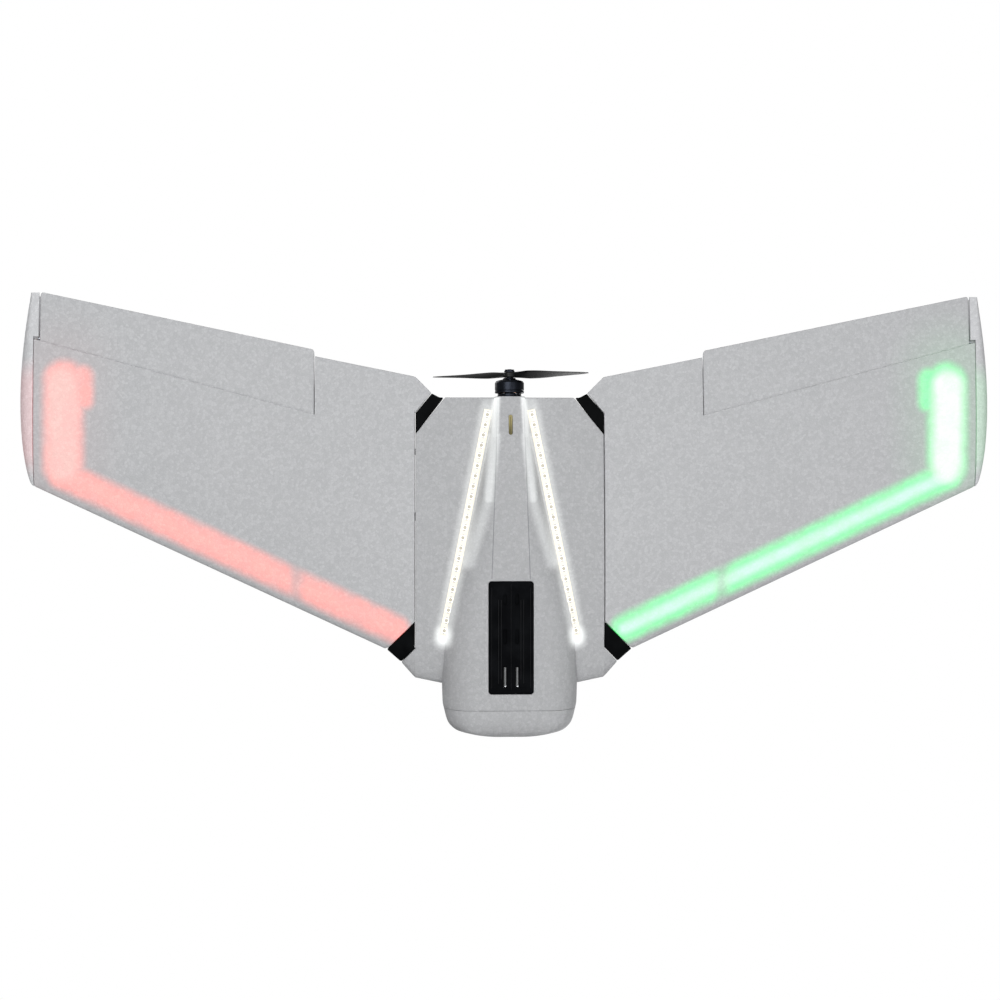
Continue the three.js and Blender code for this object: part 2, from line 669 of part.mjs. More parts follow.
function wingPanel() {
  const tipEdge = TIP_X - 7;
  const tipCorner = prism([[tipEdge, 161], [TIP_X + 2, 150], [TIP_X + 2, 175], [tipEdge, 175]], LOW, HIGH);
  const sleeveRadius = FRONT_SPAR.radius + GAP + SLEEVE_WALL + GAP;
  const sleeve = sparBar([80, FRONT_SPAR.reach + 8], FRONT_SPAR.y, sleeveRadius);
  const rear = sparBar([80, REAR_SPAR.reach + 8], REAR_SPAR.y, REAR_SPAR.radius + GAP);
  const pins = inHingeFrame(pinBar(innerPin, GAP));
  const cover = coverPlan(GAP).subtract(wingBlank(-1.8));
  return cutBy(panelOutline)
    .subtract(elevonRoom())
    .subtract(tipCorner)
    .subtract(sleeve)
    .subtract(rear)
    .subtract(pins)
    .subtract(inHingeFrame(servoPocket()))
    .subtract(cover)
    .subtract(rootFitting(ROOT_X - 5, ROOT_X + ROOT_FITTING.depth, GAP));
}

const servoCover = () => coverPlan(0).intersect(wing).subtract(wingBlank(-1.4));

const spar = ({ y, radius, reach }) => sparBar([-reach, reach], y, radius);

// ---------------------------------------------------------------- winglet

// The tip section turned up round a bend: fraction of the turn, height above the wing, edges.
const BLADE_TOP = WINGLET.top - WING_PLANE;
const WINGLET_RINGS = [
  { turn: 0, rise: 0, out: -7.2, front: 24.3, rear: 203.4, t: TIP_THICKNESS },
  { turn: 0, rise: 0, out: 0, front: 26.8, rear: 203.4, t: TIP_THICKNESS },
  { turn: 0.25, rise: 0, out: 0, front: 27.6, rear: 203.4, t: TIP_THICKNESS },
  { turn: 0.5, rise: 0, out: 0, front: 28.8, rear: 203.4, t: TIP_THICKNESS },
  { turn: 0.75, rise: 0, out: 0, front: 31, rear: 203.4, t: TIP_THICKNESS },
  { turn: 1, rise: 0, out: 0, front: 34.4, rear: 203.4, t: 12 },
  { turn: 1, rise: 20, out: 0, front: 58, rear: 203.7, t: 10.4 },
  { turn: 1, rise: 40, out: 0, front: 87, rear: 204, t: 8.6 },
  { turn: 1, rise: BLADE_TOP - 12, out: 0, front: 111, rear: 204.2, t: 7.2 },
  { turn: 1, rise: BLADE_TOP - 9.2, out: 0, front: 121, rear: 203.4, t: 5 },
  { turn: 1, rise: BLADE_TOP - WINGLET.bendHeight, out: 0, front: 134, rear: 199, t: 2 },
];

function wingletRing({ turn, rise, out, front, rear, t }) {
  const a = (Math.PI / 2) * turn;
  return sectionRing((u, side) => {
    const reach = WINGLET.endBulge + 4 * WINGLET.midBulge * u * (1 - u);
    const offset = side * halfSection(u, t);
    return new THREE.Vector3(
      WINGLET.bendX + out + (reach - offset) * Math.sin(a),
      front + u * (rear - front),
      WING_PLANE + WINGLET.bendHeight * (1 - Math.cos(a)) + offset * Math.cos(a) + rise,
    );
  });
}

function winglet() {
  const blade = loft(WINGLET_RINGS.map(wingletRing));
  const panelRoom = box([400, TIP_X], [0, 163], [LOW, WING_PLANE + 6.8]);
  const elevonEnd = box([400, ELEVON_END_X + ELEVON_SLIT], [150, 220], [LOW, HIGH]);
  const pin = inHingeFrame(pinBar(outerPin, GAP));
  return blade.subtract(panelRoom).subtract(elevonEnd).subtract(pin);
}

// ---------------------------------------------------------------- motor and propeller

const lathe = (profile) => {
  const points = profile.map(([r, y]) => new THREE.Vector2(r, y));
  return solid(new THREE.LatheGeometry(points, 28).translate(0, 0, MOTOR_Z));
};

const motorBar = (y0, y1, radius, sides = 20) => (
  bar([0, y0, MOTOR_Z], [0, y1, MOTOR_Z], radius, radius, sides)
);

function motorBase() {
  const flange = motorBar(108.4, 111.8, 11.6, 28);
  const bearingTube = motorBar(111, 120.6, 4);
  return flange.add(bearingTube).subtract(motorBar(110.5, 125, 2));
}

function stator() {
  const teeth = 12;
  const points = [];
  for (let i = 0; i < teeth; i += 1) {
    for (const [radius, step] of [[11.4, 0.06], [11.4, 0.62], [7.4, 0.74], [7.4, 0.94]]) {
      const a = ((i + step) / teeth) * 2 * Math.PI;
      points.push(new THREE.Vector2(radius * Math.cos(a), radius * Math.sin(a)));
    }
  }
  const geometry = new THREE.ExtrudeGeometry(new THREE.Shape(points), { depth: 6.4, bevelEnabled: false });
  geometry.rotateX(-Math.PI / 2).translate(0, 113.4, MOTOR_Z);
  return solid(geometry).subtract(motorBar(100, 130, 4 + GAP));
}

function motorBell() {
  return lathe([
    [0, 112], [1.5, 112], [1.5, 121], [12.1, 121], [12.1, 112.4], [BELL_RADIUS, 112.4], [BELL_RADIUS, 122.2],
    [12.4, 123.6], [6, 125.2], [5.4, 126.5], [2.5, 126.5], [2.5, 134], [2, 134.6], [0, 134.6],
  ]);
}

// Blade stations: fraction of the radius, chord, pitch angle in degrees, thickness.
const BLADE_STATIONS = [
  [0.05, 7, 38, 2.6], [0.14, 9, 36, 2.2], [0.27, 13.4, 29, 1.9], [0.42, 15, 22, 1.6],
  [0.6, 13, 17, 1.3], [0.78, 10, 14, 1.1], [0.92, 6.6, 12, 0.9], [1, 2.4, 11, 0.6],
];
const BLADE_SIDES = 10;

function bladeRing([fraction, chord, pitch, depth], side) {
  const angle = THREE.MathUtils.degToRad(pitch);
  return Array.from({ length: BLADE_SIDES }, (_, i) => {
    const a = (2 * Math.PI * i) / BLADE_SIDES;
    const c = (chord / 2) * Math.cos(a);
    const d = (depth / 2) * Math.sin(a);
    const across = side * (c * Math.cos(angle) - d * Math.sin(angle));
    const back = c * Math.sin(angle) + d * Math.cos(angle);
    return new THREE.Vector3(side * fraction * PROP.radius, back, across);
  });
}

function propeller() {
  const blades = [1, -1].map((side) => loft(BLADE_STATIONS.map((station) => bladeRing(station, side))));
  const hub = bar([0, -2.1, 0], [0, 2.3, 0], 5.6, 5.6, 20);
  const bore = bar([0, -9, 0], [0, 9, 0], 2.5 + GAP, 2.5 + GAP, 20);
  const flat = geometryOf(union(hub, ...blades).subtract(bore));
  return solid(flat.rotateY(PROP.restTurn).translate(0, PROP.y, MOTOR_Z));
}

function propellerNut() {
  const nut = motorBar(PROP.y + 2.6, PROP.y + 5, 4.9, 6);
  return nut.subtract(motorBar(100, 150, 2.5 + GAP));
}

// ---------------------------------------------------------------- electronics

const BATTERY = { x: [-17, 17], y: [-152, -58], z: [BAY.floor + 2, BAY.floor + 32] };

function batteryStrap() {
  const outer = boxGeometry([-19.2, 19.2], [-112, -94], [BAY.floor + GAP, BATTERY.z[1] + 2]);
  const inner = box([-17.6, 17.6], [-120, -80], [BATTERY.z[0] - 0.6, BATTERY.z[1] + 0.6]);
  return solid(outer).subtract(inner);
}

const boardAt = (x, y, height) => box(x, y, [BAY.floor + GAP, BAY.floor + GAP + height]);

// ---------------------------------------------------------------- assembly

const model = new THREE.Group();

function addPiece(name, manifold, finishName, group = model) {
  const geometry = manifold instanceof THREE.BufferGeometry ? manifold : geometryOf(manifold);
  const mesh = new THREE.Mesh(geometry, finish(finishName));
  mesh.name = name;
  group.add(mesh);
}

function addPair(name, manifold, finishName, group = model) {
  const geometry = geometryOf(manifold);
  addPiece(`port_${name}`, geometry, finishName, group);
  addPiece(`starboard_${name}`, mirrored(geometry), finishName, group);
}

function addBody() {
  const { halfWidth, bottom, top, front, rear } = MOTOR_MOUNT;
  const stiffener = TAIL_STIFFENER;
  addPiece('centre_section', centreSection(), 'foam');
  addPiece('nose_cap', noseCap(), 'foam');
  addPiece('nose_lens', noseLens(), 'lens');
  addPiece('nose_light_board', noseLightBoard(), 'circuit');
  addPiece('belly_plate', bellyPlate(), 'black_plastic');
  addPiece('top_hatch', topHatch(), 'foam');
  for (const [place, y] of Object.entries(HATCH_MAGNETS)) {
    const magnet = uprightDisc(y, HATCH.seamZ + 0.2, MAGNET_TOP, MAGNET_RADIUS);
    const catchPlate = uprightDisc(y, CATCH_BOTTOM, HATCH.seamZ - 0.5, MAGNET_RADIUS);
    addPiece(`${place}_hatch_magnet`, magnet, 'magnet');
    addPiece(`${place}_catch_plate`, catchPlate, 'steel');
  }
  addPiece('motor_mount', box([-halfWidth, halfWidth], [front, rear], [bottom, top]), 'plywood');
  const stiffenerX = [-stiffener.halfWidth, stiffener.halfWidth];
  addPiece('tail_stiffener', box(stiffenerX, stiffener.y, stiffener.z), 'plywood');
  addPiece('front_spar', spar(FRONT_SPAR), 'carbon');
  addPiece('rear_spar', spar(REAR_SPAR), 'carbon');
  addPair('belly_light_strip', bellyStrip(), 'light_strip');
  addPair('tail_lock', cutBy(TAIL_LOCK), 'black_plastic');
  addPair('root_socket', rootFitting(ROOT_X - ROOT_FITTING.depth + GAP, ROOT_X - GAP, 0), 'black_plastic');
}

function addElectronics() {
  addPiece('battery', box(BATTERY.x, BATTERY.y, BATTERY.z), 'battery_wrap');
  addPiece('battery_strap', batteryStrap(), 'strap');
  addPiece('speed_controller', boardAt([-25, -3], [-52, -20], 7), 'circuit');
  addPiece('receiver', boardAt([2, 18], [-50, -24], 6), 'circuit');
  addPiece('flight_controller', boardAt([21, 44], [-148, -112], 7), 'circuit');
  addPiece('light_controller', boardAt([-44, -21], [-148, -118], 5), 'circuit');
}

function addMotor() {
  addPiece('motor_base', motorBase(), 'anodised');
  addPiece('motor_stator', stator(), 'copper');
  addPiece('motor_bell', motorBell(), 'anodised');
  addPiece('propeller', propeller(), 'propeller');
  addPiece('propeller_nut', propellerNut(), 'anodised');
}

function addWings() {
  const sleeveBore = FRONT_SPAR.radius + GAP;
  const sleeve = sparBar([ROOT_X + 1, FRONT_SPAR.reach + 7], FRONT_SPAR.y, sleeveBore + SLEEVE_WALL)
    .subtract(sparBar([ROOT_X, FRONT_SPAR.reach + 8], FRONT_SPAR.y, sleeveBore));
  addPair('wing_panel', wingPanel(), 'foam');
  addPair('winglet', winglet(), 'foam');
  addPair('elevon', elevon(), 'foam');
  addPair('nav_light_strip', navStrip(), 'light_strip');
  addPair('front_lock', cutBy(FRONT_LOCK), 'black_plastic');
  addPair('spar_sleeve', sleeve, 'carbon');
  addPair('root_plug', rootFitting(ROOT_X + GAP, ROOT_X + ROOT_FITTING.depth - GAP, 0), 'black_plastic');
  addPair('servo', inHingeFrame(servoBody()), 'servo_case');
  addPair('servo_cover', servoCover(), 'foam');
  addPair('servo_arm', inHingeFrame(servoArm()), 'nylon');
  addPair('pushrod', inHingeFrame(pushrod()), 'steel');
  addPair('control_horn', inHingeFrame(controlHorn()), 'black_plastic');
  addPair('inner_hinge_pin', inHingeFrame(pinBar(innerPin, 0)), 'steel');
  addPair('outer_hinge_pin', inHingeFrame(pinBar(outerPin, 0)), 'steel');
}

addBody();
addElectronics();
addMotor();
addWings();

export default model;
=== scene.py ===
import math

import bmesh
import bpy
from mathutils import Matrix, Vector


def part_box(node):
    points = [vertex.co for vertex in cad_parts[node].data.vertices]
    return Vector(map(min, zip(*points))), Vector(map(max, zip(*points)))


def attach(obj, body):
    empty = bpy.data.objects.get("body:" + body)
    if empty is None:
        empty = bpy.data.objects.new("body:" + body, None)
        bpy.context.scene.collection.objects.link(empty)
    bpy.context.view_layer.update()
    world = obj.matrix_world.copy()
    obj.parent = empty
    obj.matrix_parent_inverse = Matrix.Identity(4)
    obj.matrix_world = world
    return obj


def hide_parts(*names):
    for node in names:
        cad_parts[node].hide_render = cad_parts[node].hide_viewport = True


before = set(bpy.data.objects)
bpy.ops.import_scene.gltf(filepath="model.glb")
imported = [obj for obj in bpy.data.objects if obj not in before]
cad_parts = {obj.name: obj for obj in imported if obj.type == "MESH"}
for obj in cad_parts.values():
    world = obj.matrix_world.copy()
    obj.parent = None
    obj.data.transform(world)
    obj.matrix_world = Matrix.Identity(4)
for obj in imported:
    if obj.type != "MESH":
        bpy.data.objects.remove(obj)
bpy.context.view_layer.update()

# ---------------------------------------------------------------- driving dimensions

MM = 0.001
GAP = 0.3
WING_PLANE = 34
ROOT_X = 87.3
TIP_X = 436
ROOT_THICKNESS = 28
TIP_THICKNESS = 12.2
EDGE_THICKNESS = 1.6

PANEL_NOSE = (113.4, -124.5)
SWEEP = 0.467
TAIL_Y = 108.3
NOSE_ROOT = [(0, -156), (63.4, -155.6), (87.5, -150.5), (100.2, -136.1), PANEL_NOSE]
TAIL_ROOT = [(0, TAIL_Y), (64.9, TAIL_Y), (71.8, 112), (87.3, 127.5), (179.5, 146), (179.9, 152)]
TAIL_SLOPE = 0.208
TAIL_LIMIT = 204.2

HINGE_X = 179.5
HINGE_Y = 94.4
HINGE_SLOPE = 0.2647
HINGE_ANGLE = math.atan(HINGE_SLOPE)
HINGE_LENGTH = 259.1
HINGE_CLEARANCE = 0.6
# The panel's lip stands LIP_GAP in front of a share of the elevon's nose radius and is rounded
# by LIP_ROUND. HINGE_DIP is how deep the elevon's skin sinks beside the lip.
# Known fault: with these values the elevon's foam overlaps the panel's, also at rest.
LIP_SHARE = 0.27
LIP_GAP = 0.5
LIP_ROUND = 0.9
ELEVON_X = (180.1, 430)
ELEVON_CORNER = 3
HINGE_DIP = 0.5
TIP_BLOCK = 7
TIP_BLOCK_REAR = 161

NOSE_SEAM_Y = -177.8
HATCH_Y = (-176, 24)
HATCH_SEAM_Z = 49
CATCH_Y = (-171, 14)
CATCH_RADIUS = 3.3
CATCH_DEPTH = 2.6
BAY_FLOOR = 10
BAY = [(46, -166), (46, -100), (26, -14), (-26, -14), (-46, -100), (-46, -166)]
PLATE_X = 20.4
PLATE_Y = (-162.6, -60.3)
PLATE_CORNER = 3
PLATE_DEPTH = 2.6
FRONT_SPAR = (-2, 4)
REAR_SPAR = (58, 3)
SLEEVE_WALL = 1.3
MOTOR_Z = 36
PROP_Y = 129.3
PROP_RADIUS = 76.2
PROP_TURN = math.radians(-22)
COOLING_SLOT_Y = 82
ROOT_FITTING_Y = (19, 37)
ROOT_FITTING_Z = (WING_PLANE - 5, WING_PLANE + 5)
LENS_ROOM = ((-22, 22), (-210, -197.2), (18, 27))

# Distance along the body, half width, half width of the flat keel, underside and top height.
POD = [
    (-204.2, 9, 5, 20, 34), (-203.2, 25, 16, 15, 40), (-201.4, 38, 24, 11, 44),
    (-197.5, 51, 32, 7, 49), (-190, 57.6, 34, 3.2, 54), (-181, 60.2, 33, 1, 58),
    (-172, 62, 31, 0, 60.5), (-150, 62.6, 28, 0, 62.5), (-110, 62.2, 24, 0, 63),
    (-62, 52, 20.9, 0, 61), (-57, 50.6, 17.3, 0, 60.7), (-7, 37, 14.8, 0, 57),
    (30, 28, 13.4, 0, 54), (61, 21, 12.8, 3.4, 52), (85, 17.2, 12.4, 9.4, 51),
    (TAIL_Y, 14.4, 12.2, 17, 50.4),
]

# The angle at which the pod's side leaves its keel, along the body.
KEEL_CREASE = [(-62, 0), (-20, 0.42)]

# The winglet turns up round a bend: turn, rise above the bend, outward step, edges, thickness.
WINGLET_BEND_X = TIP_X + 1.3
WINGLET_BEND_HEIGHT = 8
WINGLET = [
    (0, 0, -7.2, 24.3, 203.4, 12.2), (0, 0, 0, 26.8, 203.4, 12.2), (0.25, 0, 0, 27.6, 203.4, 12.2),
    (0.5, 0, 0, 28.8, 203.4, 12.2), (0.75, 0, 0, 31, 203.4, 12.2), (1, 0, 0, 34.4, 203.4, 12),
    (1, 20, 0, 58, 203.7, 10.4), (1, 40, 0, 87, 204, 8.6), (1, 58, 0, 111, 204.2, 7.2),
    (1, 60.8, 0, 121, 203.4, 5), (1, 62, 0, 134, 199, 2),
]

# Blade stations: fraction of the radius, chord, pitch in degrees, thickness.
BLADE = [
    (0.05, 7, 38, 2.6), (0.14, 9, 36, 2.2), (0.27, 13.4, 29, 1.9), (0.42, 15, 22, 1.6),
    (0.6, 13, 17, 1.3), (0.78, 10, 14, 1.1), (0.92, 6.6, 12, 0.9), (1, 2.4, 11, 0.6),
]

BELLY_STRIP = [(19.7, 97), (61.4, -111)]
NAV_INSET = 22
LED_PITCH = 9.8
BELLY_STRIP_DEPTH = 1.6
NAV_STRIP_DEPTH = 1.4
DIODE_RAISE = 0.2
EDGE_ROUND = 1.2

SIDES = {"port": 1, "starboard": -1}
SIDED = ("panel_foam", "winglet_foam")


# ---------------------------------------------------------------- curves and sections

def along(knots, x):
    """The value at x on straight lines through (x, value) knots."""
    for (x0, v0), (x1, v1) in zip(knots, knots[1:]):
        if x <= x1:
            return v0 + (v1 - v0) * max(0, (x - x0) / (x1 - x0))
    return knots[-1][1]


def slope_at(rows, i, column):
    """The slope of a curve through rows at row i that never overshoots them."""
    secants = [(rows[j + 1][column] - rows[j][column]) / (rows[j + 1][0] - rows[j][0])
               for j in (i - 1, i) if 0 <= j < len(rows) - 1]
    if len(secants) == 1:
        return secants[0]
    before, after = secants
    return 2 * before * after / (before + after) if before * after > 0 else 0


def smooth_row(rows, i, t):
    """All the values a share t of the way from row i to the next, on smooth curves."""
    start, end = rows[i], rows[i + 1]
    span = end[0] - start[0]
    values = [start[0] + span * t]
    for column in range(1, len(start)):
        a = start[column]
        b = end[column]
        slope_a = slope_at(rows, i, column) * span
        slope_b = slope_at(rows, i + 1, column) * span
        values.append(a + t * (slope_a + t * (3 * (b - a) - 2 * slope_a - slope_b
                                              + t * (2 * (a - b) + slope_a + slope_b))))
    return values


def smooth_rows(rows, steps):
    """Rows with steps - 1 smooth ones added between each two."""
    found = [smooth_row(rows, i, k / steps) for i in range(len(rows) - 1) for k in range(steps)]
    return found + [list(rows[-1])]


def spread(start, end, count):
    """Evenly spaced values from start to end."""
    return [start + (end - start) * i / (count - 1) for i in range(count)]


def leading_edge(x):
    return PANEL_NOSE[1] + SWEEP * (x - PANEL_NOSE[0]) if x > PANEL_NOSE[0] else along(NOSE_ROOT, x)


def trailing_edge(x):
    if x <= TAIL_ROOT[-1][0]:
        return along(TAIL_ROOT, x)
    return min(TAIL_LIMIT, 152 + TAIL_SLOPE * (x - HINGE_X))


def half_section(u, t):
    """Half thickness of a four-digit series section at a fraction of its chord."""
    form = 0.2969 * math.sqrt(u) - 0.126 * u - 0.3516 * u**2 + 0.2843 * u**3 - 0.1036 * u**4
    return 5 * t * form + EDGE_THICKNESS / 2 * u


def half_height(x, y):
    """Half the wing's thickness at a point of its plan."""
    front = leading_edge(x)
    u = min(1, max(0, (y - front) / (trailing_edge(x) - front)))
    return half_section(u, along([(ROOT_X, ROOT_THICKNESS), (TIP_X, TIP_THICKNESS)], x))


def rounding(distance, radius):
    """How far a rounded edge lies inside the sharp one, at a distance from its end."""
    if distance >= radius:
        return 0
    return radius - math.sqrt(radius**2 - (radius - distance) ** 2)


# ---------------------------------------------------------------- meshes

def mesh_object(name, points, faces):
    """A new object from points in millimetres, its faces all turned outward."""
    mesh = bpy.data.meshes.new(name)
    mesh.from_pydata([Vector(p) * MM for p in points], [], faces)
    build = bmesh.new()
    build.from_mesh(mesh)
    bmesh.ops.remove_doubles(build, verts=build.verts, dist=0.002 * MM)
    bmesh.ops.recalc_face_normals(build, faces=build.faces)
    build.to_mesh(mesh)
    build.free()
    made = bpy.data.objects.new(name, mesh)
    bpy.context.scene.collection.objects.link(made)
    return made


def loft(name, rings):
    """A closed skin through rings of equal length, flat over each end."""
    count = len(rings[0])
    faces = [list(range(count)), [len(rings) * count - 1 - i for i in range(count)]]
    for r in range(len(rings) - 1):
        for i in range(count):
            a = r * count + i
            b = r * count + (i + 1) % count
            faces.append((a, b, b + count, a + count))
    return mesh_object(name, [p for ring in rings for p in ring], faces)


def lathe(name, profile, centre=(0, 0, 0), axis="y", sides=48):
    """A turned solid from (radius, distance) points that start and end on the axis."""
    rings = []
    for k in range(sides):
        a = 2 * math.pi * k / sides
        rings.append([(r * math.cos(a), d, r * math.sin(a)) for r, d in profile])
    faces = []
    count = len(profile)
    for k in range(sides):
        for i in range(count - 1):
            a = k * count + i
            b = ((k + 1) % sides) * count + i
            faces.append((a, a + 1, b + 1, b))
    made = mesh_object(name, [p for ring in rings for p in ring], faces)
    if axis == "z":
        made.data.transform(Matrix.Rotation(math.pi / 2, 4, "X"))
    if axis == "x":
        made.data.transform(Matrix.Rotation(-math.pi / 2, 4, "Z"))
    made.data.transform(Matrix.Translation(Vector(centre) * MM))
    return made


def prism(name, outline, z0, z1, edge=0):
    """An upright prism over a plan outline, with its edges rounded by edge."""
    count = len(outline)
    points = [(x, y, z) for z in (z0, z1) for x, y in outline]
    faces = [list(range(count)), [2 * count - 1 - i for i in range(count)]]
    faces += [(i, (i + 1) % count, count + (i + 1) % count, count + i) for i in range(count)]
    made = mesh_object(name, points, faces)
    if edge:
        soften(made, edge)
    return made


def soften(target, width, segments=3):
    """Rounds the sharp edges of a mesh."""
    build = bmesh.new()
    build.from_mesh(target.data)
    sharp = [e for e in build.edges if e.is_manifold and e.calc_face_angle() > math.radians(40)]
    bmesh.ops.bevel(build, geom=sharp, offset=width * MM, segments=segments, affect="EDGES",
                    profile=0.5, clamp_overlap=True)
    build.to_mesh(target.data)
    build.free()


def block(name, x, y, z, edge=0):
    """A box between pairs of x, y and z."""
    outline = [(x[0], y[0]), (x[1], y[0]), (x[1], y[1]), (x[0], y[1])]
    return prism(name, outline, z[0], z[1], edge)


def rounded_outline(x, y, corner, steps=6):
    """A rectangle in plan with round corners."""
    points = []
    for cx, cy, start in ((x[1], y[0], -90), (x[1], y[1], 0), (x[0], y[1], 90), (x[0], y[0], 180)):
        centre = (cx - corner if cx == x[1] else cx + corner,
                  cy - corner if cy == y[1] else cy + corner)
        for k in range(steps + 1):
            a = math.radians(start + 90 * k / steps)
            points.append((centre[0] + corner * math.cos(a), centre[1] + corner * math.sin(a)))
    return points


def around(count, radius, first=0):
    """Points evenly round a circle, from a first angle in degrees."""
    angles = [math.radians(first + 360 * k / count) for k in range(count)]
    return [(radius * math.cos(a), radius * math.sin(a)) for a in angles]


def grown(span, amount):
    """A pair of limits moved apart by amount at each end."""
    return (span[0] - amount, span[1] + amount)


def centred(middle, size):
    """A pair of limits size apart about a middle."""
    return (middle - size / 2, middle + size / 2)


def moved(target, matrix):
    """The object with its mesh moved by a matrix in millimetres."""
    target.data.transform(Matrix.Scale(MM, 4) @ matrix @ Matrix.Scale(1 / MM, 4))
    return target


def shifted(target, x, y, z):
    return moved(target, Matrix.Translation((x, y, z)))


def mirrored(target, name):
    """A copy on the other side of the middle."""
    copy = target.copy()
    copy.data = target.data.copy()
    copy.name = name
    copy.data.transform(Matrix.Scale(-1, 4, (1, 0, 0)))
    copy.data.flip_normals()
    bpy.context.scene.collection.objects.link(copy)
    return copy


def combine(target, operation, *tools):
    """Applies a boolean with each tool and removes the tools."""
    for tool in tools:
        change = target.modifiers.new("combine", "BOOLEAN")
        change.operation = operation
        change.solver = "EXACT"
        change.object = tool
        graph = bpy.context.evaluated_depsgraph_get()
        result = bpy.data.meshes.new_from_object(target.evaluated_get(graph))
        target.modifiers.clear()
        target.data = result
        bpy.data.objects.remove(tool)
    return target


def cut(target, *tools):
    return combine(target, "DIFFERENCE", *tools)


def joined(name, parts):
    """One object from (object, material) parts, each material a name in MATERIAL."""
    materials = list(dict.fromkeys(material for _, material in parts))
    build = bmesh.new()
    for part, material in parts:
        first = len(build.faces)
        build.from_mesh(part.data)
        build.faces.ensure_lookup_table()
        for face in build.faces[first:]:
            face.material_index = materials.index(material)
        bpy.data.objects.remove(part)
    mesh = bpy.data.meshes.new(name)
    build.to_mesh(mesh)
    build.free()
    for material in materials:
        mesh.materials.append(MATERIAL[material])
    made = bpy.data.objects.new(name, mesh)
    bpy.context.scene.collection.objects.link(made)
    return made


def place(piece, body, stands_for=(), material=None, sharp=35):
    """Shades a finished piece and puts it on its body."""
    if material:
        piece.data.materials.clear()
        piece.data.materials.append(MATERIAL[material])
    piece.data.shade_smooth()
    piece.data.set_sharp_from_angle(angle=math.radians(sharp))
    weighted = piece.modifiers.new("even shading", "WEIGHTED_NORMAL")
    weighted.keep_sharp = True
    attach(piece, body)
    if stands_for:
        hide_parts(*stands_for)
    return piece


def place_pair(name, piece, body, material, stands_for=None, sharp=35):
    """Places a port piece and its mirrored copy. SIDED materials take the side's name."""
    other = mirrored(piece, f"starboard_{name}")
    piece.name = f"port_{name}"
    for side, made in (("port", piece), ("starboard", other)):
        surface = f"{side}_{material}" if material in SIDED else material
        on = f"{side}_{body}" if body != "airframe" else body
        nodes = [f"{side}_{node}" for node in stands_for or ()]
        place(made, on, nodes, surface, sharp)


# ---------------------------------------------------------------- materials

class Shader:
    """A material's node tree, with one call for each node."""

    def __init__(self, name, roughness=0.6, metallic=0.0):
        self.material = bpy.data.materials.new(name)
        self.material.use_nodes = True
        self.tree = self.material.node_tree
        self.surface = self.tree.nodes["Principled BSDF"]
        self.set("Roughness", roughness)
        self.set("Metallic", metallic)
        self.place = self.add("TexCoord").outputs["Object"]

    def add(self, kind, inputs=None, **settings):
        node = self.tree.nodes.new("ShaderNode" + kind)
        for key, value in settings.items():
            setattr(node, key, value)
        for key, value in (inputs or {}).items():
            self.feed(node.inputs[key], value)
        return node

    def feed(self, socket, value):
        if isinstance(value, bpy.types.NodeSocket):
            self.tree.links.new(value, socket)
        else:
            socket.default_value = value

    def set(self, name, value):
        self.feed(self.surface.inputs[name], value)

    def math(self, operation, a, b=0.0, clamp=False):
        return self.add("Math", {0: a, 1: b}, operation=operation, use_clamp=clamp).outputs[0]

    def times(self, a, b):
        return self.math("MULTIPLY", a, b)

    def plus(self, a, b):
        return self.math("ADD", a, b)

    def wave(self, scale, direction, distortion=0.0):
        """Bands across one direction."""
        inputs = {"Vector": self.place, "Scale": scale, "Distortion": distortion}
        return self.add("TexWave", inputs, bands_direction=direction).outputs["Fac"]

    def bricks(self, scale, mortar):
        """1 on the joints of a brick pattern, 0 on the bricks."""
        inputs = {"Vector": self.place, "Scale": scale, "Mortar Size": mortar}
        return self.range(self.add("TexBrick", inputs).outputs["Fac"], 0.4, 0.6)

    def paint(self, factor, a, b):
        """Base colour mixed from two."""
        self.set("Base Color", self.mix(factor, a, b))

    def vector(self, operation, a, b=(0, 0, 0), output=0):
        return self.add("VectorMath", {0: a, 1: b}, operation=operation).outputs[output]

    def axis(self, name):
        return self.add("SeparateXYZ", {0: self.place}).outputs[name]

    def range(self, value, low, high, to_low=0.0, to_high=1.0):
        """Value carried smoothly from low..high to to_low..to_high."""
        inputs = {"Value": value, "From Min": low, "From Max": high, "To Min": to_low, "To Max": to_high}
        return self.add("MapRange", inputs, interpolation_type="SMOOTHSTEP").outputs[0]

    def noise(self, size, detail=2.0, stretch=(1, 1, 1)):
        """Noise with features about size millimetres across."""
        stretched = self.vector("MULTIPLY", self.place, stretch)
        inputs = {"Vector": stretched, "Scale": 1 / (size * MM), "Detail": detail}
        return self.add("TexNoise", inputs).outputs["Fac"]

    def cells(self, size, feature="F1", output="Distance"):
        """Voronoi cells about size millimetres across."""
        inputs = {"Vector": self.place, "Scale": 1 / (size * MM)}
        return self.add("TexVoronoi", inputs, feature=feature).outputs[output]

    def mix(self, factor, a, b, blend="MIX"):
        node = self.add("Mix", data_type="RGBA", blend_type=blend)
        for socket, value in ((0, factor), (6, a), (7, b)):
            self.feed(node.inputs[socket], value)
        return node.outputs[2]

    def bump(self, height, depth, strength=1.0):
        """Relief of a height field, depth millimetres deep."""
        inputs = {"Height": height, "Distance": depth * MM, "Strength": strength}
        self.set("Normal", self.add("Bump", inputs).outputs[0])


def colour(r, g, b):
    """A colour given in the 0 to 255 numbers of a display, as linear light."""
    def linear(c):
        c = c / 255
        return c / 12.92 if c <= 0.04045 else ((c + 0.055) / 1.055) ** 2.4
    return (linear(r), linear(g), linear(b), 1)


